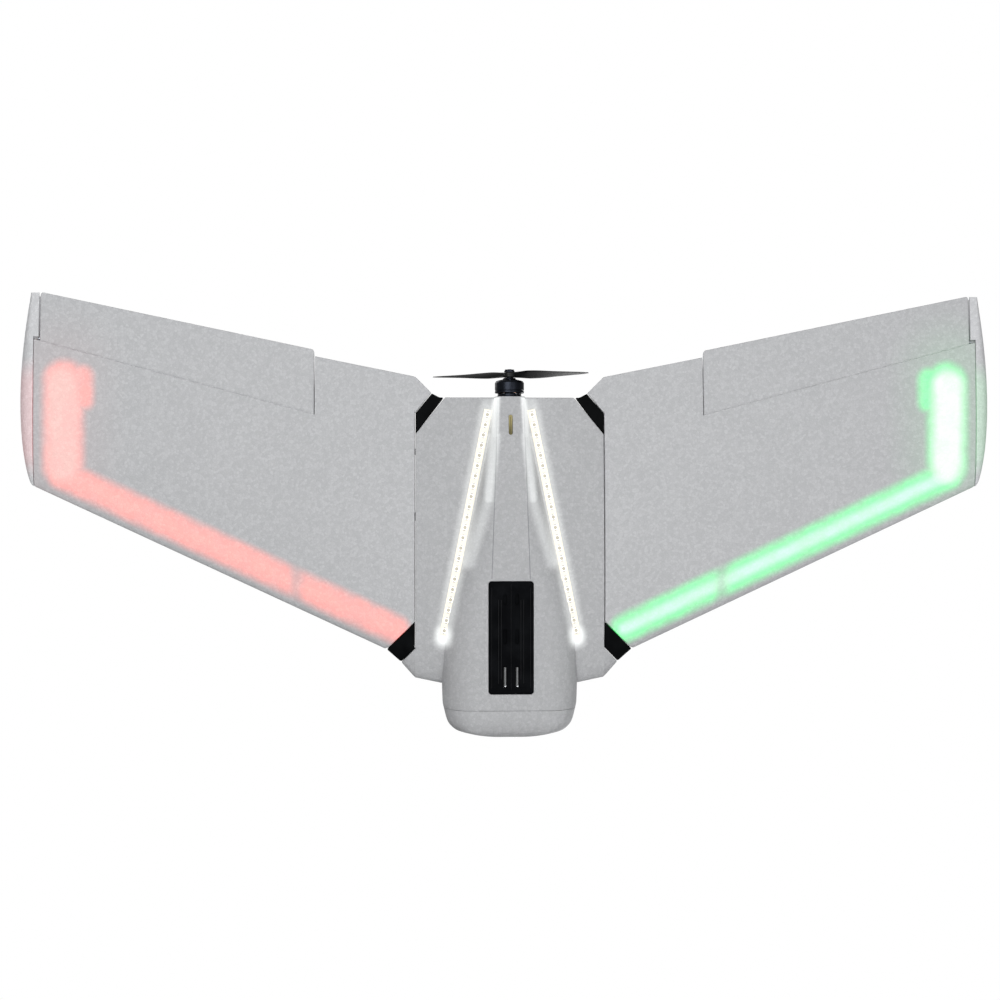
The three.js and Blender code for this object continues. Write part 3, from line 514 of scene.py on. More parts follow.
def distance_to(shader, point, start, end):
    """Distance in metres from point to a line between two plan points in millimetres."""
    a = Vector((*start, 0)) * MM
    run = Vector((*end, 0)) * MM - a
    from_start = shader.vector("SUBTRACT", point, a)
    share = shader.vector("DOT_PRODUCT", from_start, run / run.length_squared, output=1)
    clamped = shader.math("MULTIPLY", share, 1.0, clamp=True)
    along_run = shader.add("VectorMath", {0: run, "Scale": clamped}, operation="SCALE").outputs[0]
    return shader.vector("LENGTH", shader.vector("SUBTRACT", from_start, along_run), output=1)


def plan_point(shader):
    """The place in plan, with starboard folded onto port."""
    folded = shader.vector("ABSOLUTE", shader.vector("MULTIPLY", shader.place, (1, 0, 0)))
    return shader.vector("ADD", folded, shader.vector("MULTIPLY", shader.place, (0, 1, 0)))


def band(shader, point, start, end, full, faded):
    """1 within full millimetres of a line in plan, 0 beyond faded."""
    return shader.range(distance_to(shader, point, start, end), full * MM, faded * MM, 1.0, 0.0)


def brightest(shader, values):
    total = values[0]
    for value in values[1:]:
        total = shader.math("MAXIMUM", total, value)
    return total


def foam_surface(name, tone_and_painted_light=1.0):
    """Grey expanded foam: pressed beads with fine pits. Returns the shader and its colour."""
    shader = Shader(name, roughness=0.86)
    tone = shader.cells(2.6, output="Color")
    bead = shader.add("SeparateColor", {0: tone}).outputs[0]
    edge = shader.range(shader.cells(2.6, "DISTANCE_TO_EDGE"), 0.0, 0.12)
    grain = shader.noise(0.9, 3)
    cloud = shader.noise(40, 2)
    shade = shader.plus(shader.times(bead, 0.32), shader.times(grain, 0.6))
    shade = shader.plus(shade, shader.times(cloud, 0.12))
    # The brightness factor scales all the foam's colours. Set per piece, it makes darker and lighter copies
    # of one foam: painted shade and painted light.
    dark = colour(183 * tone_and_painted_light, 184 * tone_and_painted_light, 186 * tone_and_painted_light)
    light = colour(203 * tone_and_painted_light, 204 * tone_and_painted_light, 206 * tone_and_painted_light)
    body = shader.mix(shader.range(shade, 0.2, 0.95), dark, light)
    seams = colour(168 * tone_and_painted_light, 169 * tone_and_painted_light, 172 * tone_and_painted_light)
    body = shader.mix(shader.times(shader.math("SUBTRACT", 1.0, edge), 0.3), body, seams)
    relief = shader.plus(shader.times(edge, 0.5), shader.times(grain, 0.5))
    shader.bump(relief, 0.18, 0.6)
    shader.set("Specular IOR Level", 0.25)
    return shader, body


def plain_foam(name, tone_and_painted_light=1.0):
    shader, body = foam_surface(name, tone_and_painted_light)
    shader.set("Base Color", body)
    return shader.material


def nav_y(x, inset):
    return leading_edge(x) + inset


def tip_light(shader):
    """How strongly the strip inside a panel lights the foam at each place: (core, whole)."""
    point = plan_point(shader)
    front = [(106, nav_y(114, 23) - 3.8), (410, nav_y(410, 23))]
    runs = [(*front, 7, 18), ((408, 44), (408, 123), 10, 24), ((406, 126), (391, 126), 3, 15),
            ((389, 124), (389, 104), 1, 13)]
    whole = brightest(shader, [band(shader, point, *run) for run in runs])
    cores = [(*front, 1, 9), ((408, 44), (409, 118), 2, 13)]
    core = brightest(shader, [band(shader, point, *run) for run in cores])
    x = shader.axis("X")
    dip = shader.range(shader.math("ABSOLUTE", shader.math("SUBTRACT", shader.math("ABSOLUTE", x), 0.196)),
                       0.0, 0.011, 0.5, 1.0)
    mottle = shader.range(shader.noise(15, 2), 0.3, 0.7, 0.8, 1.12)
    level = shader.times(dip, mottle)
    tip = band(shader, point, (408, 44), (409, 120), 7, 20)
    return [shader.times(value, level) for value in (core, whole, tip)] + [point]


def lit_foam(name, glow, core_glow, tip_glow, painted_light_tint, leak):
    """Foam with a navigation light shining through it."""
    shader, body = foam_surface(name, 0.96)
    core, whole, tip, point = tip_light(shader)
    haze = band(shader, point, (413, 50), (413, 130), 8, 70)
    haze = shader.times(haze, leak)
    # Where the strip's light falls, the base colour takes the light's colour: painted light.
    shader.paint(whole, body, shader.mix(1.0, body, painted_light_tint, "MULTIPLY"))
    light = shader.mix(shader.math("ADD", whole, haze, clamp=True), (0, 0, 0, 1), glow)
    light = shader.mix(core, light, core_glow, "ADD")
    light = shader.mix(tip, light, tip_glow)
    shader.set("Emission Color", light)
    shader.set("Emission Strength", 1.0)
    return shader.material


def winglet_foam(name, glow, level):
    """Foam of a winglet, faintly lit where it meets the lit tip, and a lighter copy of the grey foam: painted
    light.
    """
    # A lighter copy of the grey foam: painted light.
    shader, body = foam_surface(name, 1.05)
    shader.set("Base Color", body)
    near = band(shader, plan_point(shader), (434, 60), (434, 118), 2, 30)
    near = shader.times(near, level)
    low = shader.range(shader.axis("Z"), 0.036, 0.058, 1.0, 0.0)
    shader.set("Emission Color", shader.mix(shader.times(near, low), (0, 0, 0, 1), glow))
    shader.set("Emission Strength", 1.0)
    return shader.material


def belly_foam():
    """Foam of the centre section, lit by the white strips beside the pod. It is a darker copy of the grey
    foam, with a dark line along the keel's crease: both painted shade.
    """
    shader, body = foam_surface("centre foam", 0.91)
    point = plan_point(shader)
    below = shader.range(shader.axis("Z"), 0.031, 0.035, 1.0, 0.0)
    # A dark line along the keel's crease, below the wing: painted shade where the pod's side meets its keel.
    crease = band(shader, point, (11.4, 112), (17.4, -58), 0.1, 0.7)
    crease = shader.times(shader.times(crease, 0.55), below)
    shader.paint(crease, body, colour(96, 98, 102))
    near = band(shader, point, (17, 112), BELLY_STRIP[1], 3, 11)
    glows = [
        (band(shader, point, (61, -110), (61.5, -115), 1, 12), 0.5),
        (band(shader, point, (12.6, 112), (14.4, 72), 1, 5), 0.5),
        (band(shader, point, (14.4, 72), (20.5, 14), 1, 7), 0.42),
        (band(shader, point, (20.5, 14), (38, -44), 0.5, 9), 0.24),
    ]
    wall = brightest(shader, [shader.times(glow, level) for glow, level in glows])
    strength = shader.plus(wall, shader.times(near, 0.27))
    ahead_of_tail = shader.range(shader.axis("Y"), 0.1068, 0.1082, 1.0, 0.0)
    strength = shader.times(shader.times(strength, below), ahead_of_tail)
    shader.set("Emission Color", shader.mix(strength, (0, 0, 0, 1), (0.97, 1.0, 0.98, 1)))
    shader.set("Emission Strength", 1.0)
    return shader.material


def moulded(name, base, roughness, relief=0.03, size=0.5, gloss=0.4):
    """Moulded plastic with a fine texture and slight wear."""
    shader = Shader(name, roughness)
    grain = shader.noise(size, 3)
    worn = shader.noise(18, 4)
    lighter = tuple(min(1, c * 1.7 + 0.002) for c in base[:3]) + (1,)
    shader.set("Specular IOR Level", gloss)
    shader.paint(shader.range(worn, 0.35, 0.75), base, lighter)
    shader.set("Roughness", shader.range(worn, 0.3, 0.8, roughness - 0.08, roughness + 0.1))
    shader.bump(grain, relief)
    return shader.material


def metal(name, base, roughness, brushed=(1, 1, 1)):
    """Metal with fine machining marks."""
    shader = Shader(name, roughness, 1.0)
    marks = shader.noise(0.6, 4, brushed)
    darker = tuple(c * 0.75 for c in base[:3]) + (1,)
    shader.paint(shader.range(marks, 0.3, 0.7), darker, base)
    shader.set("Roughness", shader.range(marks, 0.3, 0.7, roughness - 0.06, roughness + 0.1))
    shader.bump(marks, 0.01)
    return shader.material


def carbon_weave():
    """Dark carbon tube with its wound fibres showing through a gloss resin."""
    shader = Shader("carbon", 0.32)
    wave = shader.wave(160.0, "DIAGONAL", 0.6)
    shader.paint(wave, colour(18, 19, 21), colour(44, 46, 50))
    shader.set("Coat Weight", 0.4)
    shader.bump(wave, 0.02)
    return shader.material


def layered_wood():
    """Plywood: pale and darker veneers with a drawn-out grain."""
    shader = Shader("plywood", 0.75)
    grain = shader.noise(2.2, 4, (0.12, 1, 1))
    veneer = shader.wave(320.0, "Y")
    body = shader.mix(grain, colour(150, 112, 66), colour(208, 172, 116))
    body = shader.mix(shader.times(veneer, 0.35), body, colour(120, 84, 48))
    shader.set("Base Color", body)
    shader.bump(grain, 0.05)
    return shader.material


def circuit_board():
    """Solder mask over copper tracks."""
    shader = Shader("circuit board", 0.4)
    lines = shader.bricks(260.0, 0.03)
    speckle = shader.noise(1.4, 2)
    mask = shader.mix(speckle, colour(12, 40, 28), colour(20, 62, 42))
    shader.paint(lines, mask, colour(38, 92, 62))
    shader.bump(lines, 0.03)
    return shader.material


def woven_strap():
    """Nylon webbing with its ribs across."""
    shader = Shader("strap webbing", 0.9)
    ribs = shader.wave(420.0, "Y")
    fibres = shader.noise(0.5, 3, (1, 4, 1))
    shader.paint(ribs, colour(14, 14, 15), colour(38, 38, 40))
    shader.bump(shader.plus(ribs, shader.times(fibres, 0.5)), 0.15)
    return shader.material


def heat_shrink():
    """The battery's wrap: smooth film with shallow creases."""
    shader = Shader("battery wrap", 0.42)
    creases = shader.noise(9, 4, (1, 0.3, 1))
    shader.paint(creases, colour(26, 29, 34), colour(48, 53, 60))
    shader.set("Coat Weight", 0.3)
    shader.bump(creases, 0.25)
    return shader.material


def copper_wire():
    """Enamelled windings."""
    shader = Shader("copper windings", 0.35, 0.9)
    turns = shader.wave(900.0, "Y")
    shader.paint(turns, colour(120, 58, 24), colour(206, 122, 62))
    shader.bump(turns, 0.1)
    return shader.material


def lamp(name, base, glow, strength, fleck=0.3):
    """A lit diode or lens, a little uneven."""
    shader = Shader(name, 0.35)
    uneven = shader.noise(1.5, 2)
    dim = tuple(c * (1 - fleck) for c in glow[:3]) + (1,)
    shader.paint(uneven, base, glow)
    shader.set("Emission Color", shader.mix(uneven, dim, glow))
    shader.set("Emission Strength", strength)
    return shader.material


def strip_tape(name, glow, strength):
    """Flexible light strip: pale tape with printed copper pads between the diodes."""
    shader = Shader(name, 0.5)
    shown = shader.bricks(200.0, 0.12)
    shader.paint(shown, colour(244, 244, 238), colour(228, 220, 200))
    shader.set("Emission Color", shader.mix(shader.times(shown, 0.35), glow, (0.8, 0.78, 0.72, 1)))
    shader.set("Emission Strength", strength)
    shader.bump(shown, 0.05)
    return shader.material


RED_GLOW = (0.62, 0.03, 0.02, 1)
RED_CORE = (0.12, 0.03, 0.02, 1)
RED_TIP = (0.5, 0.15, 0.13, 1)
GREEN_GLOW = (0.02, 0.62, 0.1, 1)
GREEN_CORE = (0.34, 0.3, 0.36, 1)
GREEN_TIP = (0.63, 0.6, 0.56, 1)

MATERIAL = {
    "foam": plain_foam("grey foam", 0.95),
    # The nose's foam is a darker copy of the grey foam: painted shade.
    "nose_foam": plain_foam("nose foam", 0.93),
    "belly_foam": belly_foam(),
    "black_plastic": moulded("black plastic", colour(4, 5, 6), 0.7, gloss=0.04),
    # The ribs are a lighter plastic than the plate: painted sheen on the raised ribs, over the slight wear
    # every moulded part has.
    "rib_plastic": moulded("rib plastic, worn, painted sheen", colour(15, 16, 19), 0.55, 0.02, gloss=0.15),
    "pin": metal("brushed pin", colour(120, 121, 122), 0.5),
    "plate_plastic": moulded("belly plate plastic", colour(7, 8, 10), 0.7, 0.05, 0.8, 0.02),
    "lens": lamp("nose lens", colour(225, 232, 226), colour(240, 250, 244), 0.75, 0.15),
    "circuit": circuit_board(),
    "carbon": carbon_weave(),
    "anodised": metal("anodised aluminium", colour(42, 45, 52), 0.3, (1, 6, 1)),
    "steel": metal("steel", colour(196, 199, 205), 0.28),
    "magnet": metal("nickel plate", colour(210, 212, 216), 0.2),
    "copper": copper_wire(),
    "propeller": moulded("propeller nylon", colour(13, 15, 15), 0.4, 0.02, gloss=0.25),
    "battery_wrap": heat_shrink(),
    "strap": woven_strap(),
    "plywood": layered_wood(),
    "servo_case": moulded("servo case", colour(28, 38, 60), 0.38),
    "nylon": moulded("white nylon", colour(188, 188, 182), 0.5),
    "white_tape": strip_tape("white light tape", (1, 1, 0.98, 1), 0.3),
    "white_diode": lamp("white diode", colour(250, 250, 245), (1, 1, 0.98, 1), 0.6),
    "phosphor": lamp("diode phosphor", colour(186, 180, 160), (0.6, 0.56, 0.48, 1), 0.1),
    # The slot insert's tan stands in for lit plywood: painted light.
    "olive": moulded("slot insert painted as lit plywood", colour(132, 124, 88), 0.5, 0.04, gloss=0.1),
    "chip": moulded("chip case", colour(16, 16, 18), 0.45),
    "solder": metal("solder", colour(190, 192, 196), 0.3),
    "label": moulded("printed label", colour(158, 152, 136), 0.5, 0.01, 2),
    "port_panel_foam": lit_foam("port foam", RED_GLOW, RED_CORE, RED_TIP, (1, 0.97, 0.9, 1), 0.05),
    "starboard_panel_foam": lit_foam("starboard foam", GREEN_GLOW, GREEN_CORE, GREEN_TIP,
                                     (0.72, 1, 0.86, 1), 0.12),
    "port_winglet_foam": winglet_foam("port winglet foam", RED_GLOW, 0.3),
    "starboard_winglet_foam": winglet_foam("starboard winglet foam", GREEN_GLOW, 0.26),
    "port_nav_tape": strip_tape("red light tape", (1, 0.16, 0.1, 1), 1.2),
    "starboard_nav_tape": strip_tape("green light tape", (0.1, 1, 0.3, 1), 1.2),
    "port_nav_diode": lamp("red diode", colour(255, 120, 100), (1, 0.2, 0.12, 1), 2.2),
    "starboard_nav_diode": lamp("green diode", colour(120, 255, 150), (0.16, 1, 0.36, 1), 2.2),
}

# ---------------------------------------------------------------- wing sections

ROUND_SHARES = (0, 0.06, 0.2, 0.5)
CHORD_STEPS = 46
COVE_STEPS = 10


def nose_radius(distance):
    """Radius of the elevon's round nose at a distance along the hinge."""
    outer_x = HINGE_X + HINGE_LENGTH * math.cos(HINGE_ANGLE)
    outer_y = HINGE_Y + HINGE_LENGTH * math.sin(HINGE_ANGLE)
    inner = half_height(HINGE_X + 0.5, HINGE_Y)
    outer = half_height(outer_x, outer_y)
    return inner + (outer - inner) * distance / HINGE_LENGTH


def hinge_y(x):
    return HINGE_Y + HINGE_SLOPE * (x - HINGE_X)


def chord_places(front, rear, radius):
    """Places along a section, close together at its rounded ends."""
    ends = [share * radius for share in ROUND_SHARES]
    inner_front = front + radius
    inner_rear = rear - radius
    middle = [inner_front + (inner_rear - inner_front) * (1 - math.cos(math.pi * k / CHORD_STEPS)) / 2
              for k in range(CHORD_STEPS + 1)]
    return [front + e for e in ends] + middle + [rear - e for e in reversed(ends)]


def section(x, front, rear, relief=None, radius=EDGE_ROUND, cove=None):
    """A closed ring round the wing at x between two edges, its cut ends rounded.

    relief(y) lowers the skin, and cove gives the hinge line's y where the rear end is hollow.
    """
    plan_x = abs(x)
    radius = min(radius, (rear - front) / 3)
    front_round = min(radius, half_height(plan_x, front))
    rear_round = min(radius, half_height(plan_x, rear))
    skin = []
    for y in chord_places(front, rear, radius):
        height = half_height(plan_x, y)
        height -= rounding(y - front, front_round) if front_round else 0
        height -= rounding(rear - y, rear_round) if rear_round else 0
        height -= relief(y) if relief else 0
        skin.append((y, max(height, 0.02)))
    ring = [(x, y, WING_PLANE + h) for y, h in reversed(skin)]
    ring += [(x, y, WING_PLANE - h) for y, h in skin]
    last = skin[-1][1]
    for k in range(1, COVE_STEPS):
        z = -last + 2 * last * k / COVE_STEPS
        y = rear
        if cove is not None:
            radius_here = cove - rear
            a = math.pi / 2 * (z / last)
            reach = nose_radius((plan_x - HINGE_X) / math.cos(HINGE_ANGLE)) + HINGE_CLEARANCE
            z = last * math.sin(a)
            y = rear - (reach / math.cos(HINGE_ANGLE) - radius_here) * math.cos(a)
        ring.append((x, y, WING_PLANE + z))
    return ring


def faded_relief(depth, full_y, none_y):
    """A lowering of the skin by depth at full_y, fading to none at none_y."""
    return lambda y: depth * min(1, max(0, (y - none_y) / (full_y - none_y)))


def end_rounding():
    """(distance, inset) pairs that round the end of a foam piece."""
    return [(share * EDGE_ROUND, rounding(share * EDGE_ROUND, EDGE_ROUND)) for share in ROUND_SHARES]


# ---------------------------------------------------------------- wing panel

PANEL_ROOT = ROOT_X + GAP
ROOT_FACE_REAR = 93.6
PANEL_FRONT = [(PANEL_ROOT, -98.6), (115.1, -125.7)]
PANEL_TAIL = [(71.4, 113.3), (PANEL_ROOT, ROOT_FACE_REAR)]


def panel_front(x):
    if x < PANEL_ROOT:
        return along(PANEL_TAIL, x)
    return max(leading_edge(x), along(PANEL_FRONT, x)) if x < PANEL_FRONT[1][0] else leading_edge(x)


def hinge_lip(x):
    """Where the panel's skin ends in front of the elevon."""
    nose = nose_radius((x - HINGE_X) / math.cos(HINGE_ANGLE))
    return hinge_y(x) - (nose * LIP_SHARE + LIP_GAP) / math.cos(HINGE_ANGLE)


def panel_relief(x, inset):
    if inset:
        return lambda y: inset
    if x < PANEL_ROOT:
        return None
    depth = rounding(x - PANEL_ROOT, EDGE_ROUND)
    return faded_relief(depth, ROOT_FACE_REAR, ROOT_FACE_REAR + 2)


def panel_section(x, inset=0):
    front = panel_front(x) + inset
    relief = panel_relief(x, inset)
    if x <= HINGE_X:
        return section(x, front, trailing_edge(x), relief)
    if x > TIP_X - TIP_BLOCK:
        return section(x, front, min(hinge_lip(x), TIP_BLOCK_REAR) - inset, relief)
    return section(x, front, hinge_lip(x), relief, LIP_ROUND, hinge_y(x))


def panel_blank(name="panel blank"):
    """One wing panel without its pockets."""
    tip = TIP_X - GAP
    xs = spread(72.6, PANEL_ROOT - 0.01, 7)
    xs += [PANEL_ROOT + share * EDGE_ROUND for share in ROUND_SHARES]
    xs += spread(PANEL_ROOT + EDGE_ROUND, 115.1, 9)
    xs += spread(118, HINGE_X, 18)
    xs += spread(HINGE_X + 0.01, tip - TIP_BLOCK - 0.01, 62)
    xs += spread(tip - TIP_BLOCK + 0.4, tip - EDGE_ROUND, 4)
    rings = [panel_section(x) for x in xs]
    rings += [panel_section(tip - distance, inset) for distance, inset in reversed(end_rounding())]
    return loft(name, rings)


HINGE_FRAME = Matrix.Translation((HINGE_X, HINGE_Y, WING_PLANE)) @ Matrix.Rotation(HINGE_ANGLE, 4, "Z")


def at_hinge(target):
    """Moves a mesh made in the hinge's own frame to its place on the port side."""
    return moved(target, HINGE_FRAME)


def bar(name, start, end, radius, sides=32):
    """A plain round bar between two points."""
    run = Vector(end) - Vector(start)
    length = run.length
    profile = [(0, 0), (radius, 0), (radius, length), (0, length)]
    made = lathe(name, profile, sides=sides)
    turn = Vector((0, 1, 0)).rotation_difference(run).to_matrix().to_4x4()
    return moved(made, Matrix.Translation(start) @ turn)


SERVO_X = (34, 56)
SERVO_Y = (-72, -49)
SERVO_Z = (-5.6, 6.4)
ARM_X = 59
ARM_Y = -60
ARM_Z = 0.4


def cover_room(grow):
    x = grown((SERVO_X[0] - 2, SERVO_X[1] + 0.6), grow)
    return at_hinge(block("cover room", x, grown(SERVO_Y, 7 + grow), (0, 60)))


def root_fitting(x):
    return block("root fitting", x, grown(ROOT_FITTING_Y, GAP), grown(ROOT_FITTING_Z, GAP))


def spar_bore(spar, x, clearance=GAP):
    """A bore for a spar, given as its (y, radius), between a pair of x."""
    y, radius = spar
    return bar("spar bore", (x[0], y, WING_PLANE), (x[1], y, WING_PLANE), radius + clearance)


def build_panels():
    room = cut(cover_room(GAP), shifted(panel_blank(), 0, 0, -1.8))
    servo_room = block("servo room", (SERVO_X[0] - GAP, ARM_X + 5), grown(SERVO_Y, 5), (SERVO_Z[0] - 1.3, 40))
    panel = cut(
        panel_blank("panel"),
        spar_bore(FRONT_SPAR, (80, 200), SLEEVE_WALL + GAP),
        spar_bore(REAR_SPAR, (80, 158)),
        root_fitting((80, ROOT_X + 12)),
        at_hinge(servo_room),
        room,
    )
    place_pair("panel_foam", panel, "wing", "panel_foam", ["wing_panel"])
    cover = combine(cover_room(0), "INTERSECT", panel_blank())
    cover = cut(cover, shifted(panel_blank(), 0, 0, -1.4))
    place_pair("servo_lid", cover, "wing", "foam", ["servo_cover"])


# ---------------------------------------------------------------- elevon

def elevon_tail(x):
    """The elevon's trailing edge, rounded at both of its corners."""
    from_end = min(x - ELEVON_X[0], ELEVON_X[1] - x)
    return 152 + TAIL_SLOPE * (x - HINGE_X) - rounding(from_end, ELEVON_CORNER)


def elevon_section(x, inset=0):
    cosine = math.cos(HINGE_ANGLE)
    along_hinge = (x - HINGE_X) / cosine
    nose = nose_radius(along_hinge) - inset
    tail = elevon_tail(x) - inset
    edge = EDGE_THICKNESS / 2 - min(inset, 0.6)
    axis = hinge_y(x)
    skin = []
    for k in range(1, 13):
        a = math.pi / 2 * k / 12
        groove_dip = HINGE_DIP * math.sin(2 * a) ** 2
        skin.append((axis - nose / cosine * math.cos(a), nose * math.sin(a) - groove_dip))
    for k in range(1, 25):
        share = k / 24
        skin.append((axis + (tail - edge - axis) * share, nose + (edge - nose) * share))
    for k in range(1, 5):
        a = math.pi / 2 * k / 5
        skin.append((tail - edge + edge * math.sin(a), edge * math.cos(a)))
    ring = [(x, y, WING_PLANE + h) for y, h in reversed(skin)]
    ring.append((x, axis - nose / cosine, WING_PLANE))
    ring += [(x, y, WING_PLANE - h) for y, h in skin]
    ring.append((x, tail, WING_PLANE))
    return ring


def build_elevons():
    inner, outer = ELEVON_X
    xs = spread(inner + EDGE_ROUND, inner + 4, 5)
    xs += spread(inner + 8, outer - 8, 56)
    xs += spread(outer - 4, outer - EDGE_ROUND, 5)
    rings = [elevon_section(inner + distance, inset) for distance, inset in end_rounding()]
    rings += [elevon_section(x) for x in xs]
    rings += [elevon_section(outer - distance, inset) for distance, inset in reversed(end_rounding())]
    horn_seat = at_hinge(block("horn seat", (56.7, 67.3), (1.7, 16.3), (nose_radius(62) - 3.3, 30)))
    elevon = cut(loft("elevon", rings), horn_seat)
    place_pair("elevon_foam", elevon, "elevon", "panel_foam", ["elevon"])


# ---------------------------------------------------------------- winglet

WINGLET_STEPS = 36


def winglet_ring(values):
    _, turn, rise, out, front, rear, t = values
    a = math.pi / 2 * turn
    skin = []
    for k in range(WINGLET_STEPS + 1):
        u = (1 - math.cos(math.pi * k / WINGLET_STEPS)) / 2
        skin.append((u, half_section(u, t)))
    ring = []
    for side, points in ((1, reversed(skin)), (-1, skin[1:])):
        for u, half in points:
            reach = 1.6 + 20 * u * (1 - u)
            offset = side * half
            ring.append((
                WINGLET_BEND_X + out + (reach - offset) * math.sin(a),
                front + u * (rear - front),
                WING_PLANE + WINGLET_BEND_HEIGHT * (1 - math.cos(a)) + offset * math.cos(a) + rise,
            ))
    return ring


def build_winglets():
    rows = [(i, *row) for i, row in enumerate(WINGLET)]
    blade = loft("winglet", [winglet_ring(values) for values in smooth_rows(rows, 7)])
    blade = cut(
        blade,
        block("panel room", (400, TIP_X), (0, 163), (-20, WING_PLANE + 6.8)),
        block("elevon end", (400, ELEVON_X[1] + 1.2), (150, 220), (-20, 200)),
    )
    place_pair("winglet_foam", blade, "wing", "winglet_foam", ["winglet"])


# ---------------------------------------------------------------- corner locks

def lock(name, xs, front, rear):
    """A corner lock that fills the gap in the wing between two straight edges."""
    start, end = xs
    places = [start + share for share in ROUND_SHARES] + spread(start + 1, end - 0.2, 14)
    rings = []
    for x in places:
        depth = min(rounding(x - start, 1), (rear(x) - front(x)) / 4)
        rings.append(section(x, front(x) + depth, rear(x) - depth, lambda y, d=depth: d, 0.8))
    return loft(name, rings)


def front_lock_nose(x):
    cut_edge = along([(87.6, -122.6), (100.3, -135.8)], x)
    return max(leading_edge(x), cut_edge) if x < 100.3 else leading_edge(x)


def tail_lock_tail(x):
    cut_edge = along([(71, 113), (86.9, 93.7)], x)
    return min(trailing_edge(x), cut_edge) if x > 71 else trailing_edge(x)


def build_locks():
    front_lock = lock("front lock", (87.6, 112.8), front_lock_nose,
                      lambda x: along([(87.6, -99.2), (113.4, -124.5)], x))
    place_pair("front_corner_lock", front_lock, "wing", "black_plastic", ["front_lock"])
    tail_lock = lock("tail lock", (61.6, 87.1),
                     lambda x: along([(59.9, 109), (86.9, 74.6)], x), tail_lock_tail)
    place_pair("tail_corner_lock", tail_lock, "airframe", "black_plastic", ["tail_lock"])


# ---------------------------------------------------------------- pod, hatch and nose

QUARTER_STEPS = 14


def pod_ring(values):
    y, half_width, keel, bottom, top = values
    crown = half_width * 0.45
    crease = along(KEEL_CREASE, y)
    quarter = []
    for k in range(QUARTER_STEPS + 1):
        a = crease + (math.pi / 2 - crease) * k / QUARTER_STEPS
        out = (math.sin(a) - math.sin(crease)) / (1 - math.sin(crease))
        quarter.append((keel + (half_width - keel) * out,
                        WING_PLANE - (WING_PLANE - bottom) * math.cos(a) / math.cos(crease)))
    for k in range(1, QUARTER_STEPS + 1):
        a = math.pi / 2 * k / QUARTER_STEPS
        quarter.append((crown + (half_width - crown) * math.cos(a),
                        WING_PLANE + (top - WING_PLANE) * math.sin(a)))
    return [(x, y, z) for x, z in quarter] + [(-x, y, z) for x, z in reversed(quarter)]


def pod_values(y):
    """The pod's measures at y."""
    for i in range(len(POD) - 1):
        if y <= POD[i + 1][0]:
            return smooth_row(POD, i, (y - POD[i][0]) / (POD[i + 1][0] - POD[i][0]))
    return list(POD[-1])


def pod_part(name, start, end):
    """The pod between two places along the body."""
    rows = [row for row in smooth_rows(POD, 5) if start < row[0] < end]
    rows = [pod_values(start), *rows, pod_values(end)]
    return loft(name, [pod_ring(values) for values in rows])


BODY_TAIL = [(59.4, 108.6), (87, 74.1)]
BODY_NOSE_CUT = [(87, -122.8), (100, -136.2)]
BODY_ROOT = ROOT_X - GAP


def centre_section(x):
    plan_x = abs(x)
    front = leading_edge(plan_x)
    if plan_x > BODY_ROOT:
        return section(x, front, max(front + 0.4, along(BODY_NOSE_CUT, plan_x)))
    rear = trailing_edge(plan_x)
    if plan_x > BODY_TAIL[0][0]:
        rear = min(rear, along(BODY_TAIL, plan_x))
    depth = rounding(BODY_ROOT - plan_x, EDGE_ROUND)
    return section(x, front, rear, faded_relief(depth, BODY_NOSE_CUT[0][1], BODY_NOSE_CUT[0][1] - 2))


def centre_wing():
    """The middle of the wing, between the two root seams."""
    half = spread(0, 59.4, 20) + spread(61, BODY_ROOT - EDGE_ROUND, 12)
    half += [BODY_ROOT - share * EDGE_ROUND for share in reversed(ROUND_SHARES)]
    half += spread(BODY_ROOT + 0.01, 99.4, 6)
    xs = [-x for x in reversed(half[1:])] + half
    return loft("centre wing", [centre_section(x) for x in xs])


def slot_outline(x, y, half_width, half_length):
    return rounded_outline(grown((x, x), half_width), grown((y, y), half_length), half_width - 0.01)


def plate_outline(grow):
    return rounded_outline(grown((-PLATE_X, PLATE_X), grow), grown(PLATE_Y, grow), PLATE_CORNER)


def build_centre():
    body = combine(pod_part("centre", NOSE_SEAM_Y + GAP / 2, TAIL_Y), "UNION", centre_wing())
    tools = [
        block("hatch room", (-80, 80), grown(HATCH_Y, GAP), (HATCH_SEAM_Z - GAP, 200)),
        prism("bay", BAY, BAY_FLOOR, 200),
        block("mount room", (-11.3, 11.3), (103.7, 120), (23.7, 48.3)),
        prism("cooling slot", slot_outline(0, COOLING_SLOT_Y, 1.9, 9.3), -20, 18),
        prism("plate room", plate_outline(GAP), -1, PLATE_DEPTH + GAP),
        spar_bore(FRONT_SPAR, (-95, 95)),
        spar_bore(REAR_SPAR, (-95, 95)),
        root_fitting((ROOT_X - 12, 95)),
        root_fitting((-95, 12 - ROOT_X)),
    ]
    tools += [bar("catch room", (0, y, HATCH_SEAM_Z - CATCH_DEPTH), (0, y, HATCH_SEAM_Z + 1), CATCH_RADIUS)
              for y in CATCH_Y]
    place(cut(body, *tools), "airframe", ["centre_section"], "belly_foam")


def lens_block(grow):
    return block("lens room", *[grown(span, grow) for span in LENS_ROOM])


def build_nose():
    cap = cut(pod_part("nose", POD[0][0], NOSE_SEAM_Y - GAP / 2), lens_block(GAP),
              block("board room", (-20.3, 20.3), (-197.2, -193.2), (18, 27)))
    place(cap, "airframe", ["nose_cap"], "nose_foam")
    lens = combine(pod_part("nose_light_lens", POD[0][0], NOSE_SEAM_Y), "INTERSECT", lens_block(0))
    place(lens, "airframe", ["nose_lens"], "lens")


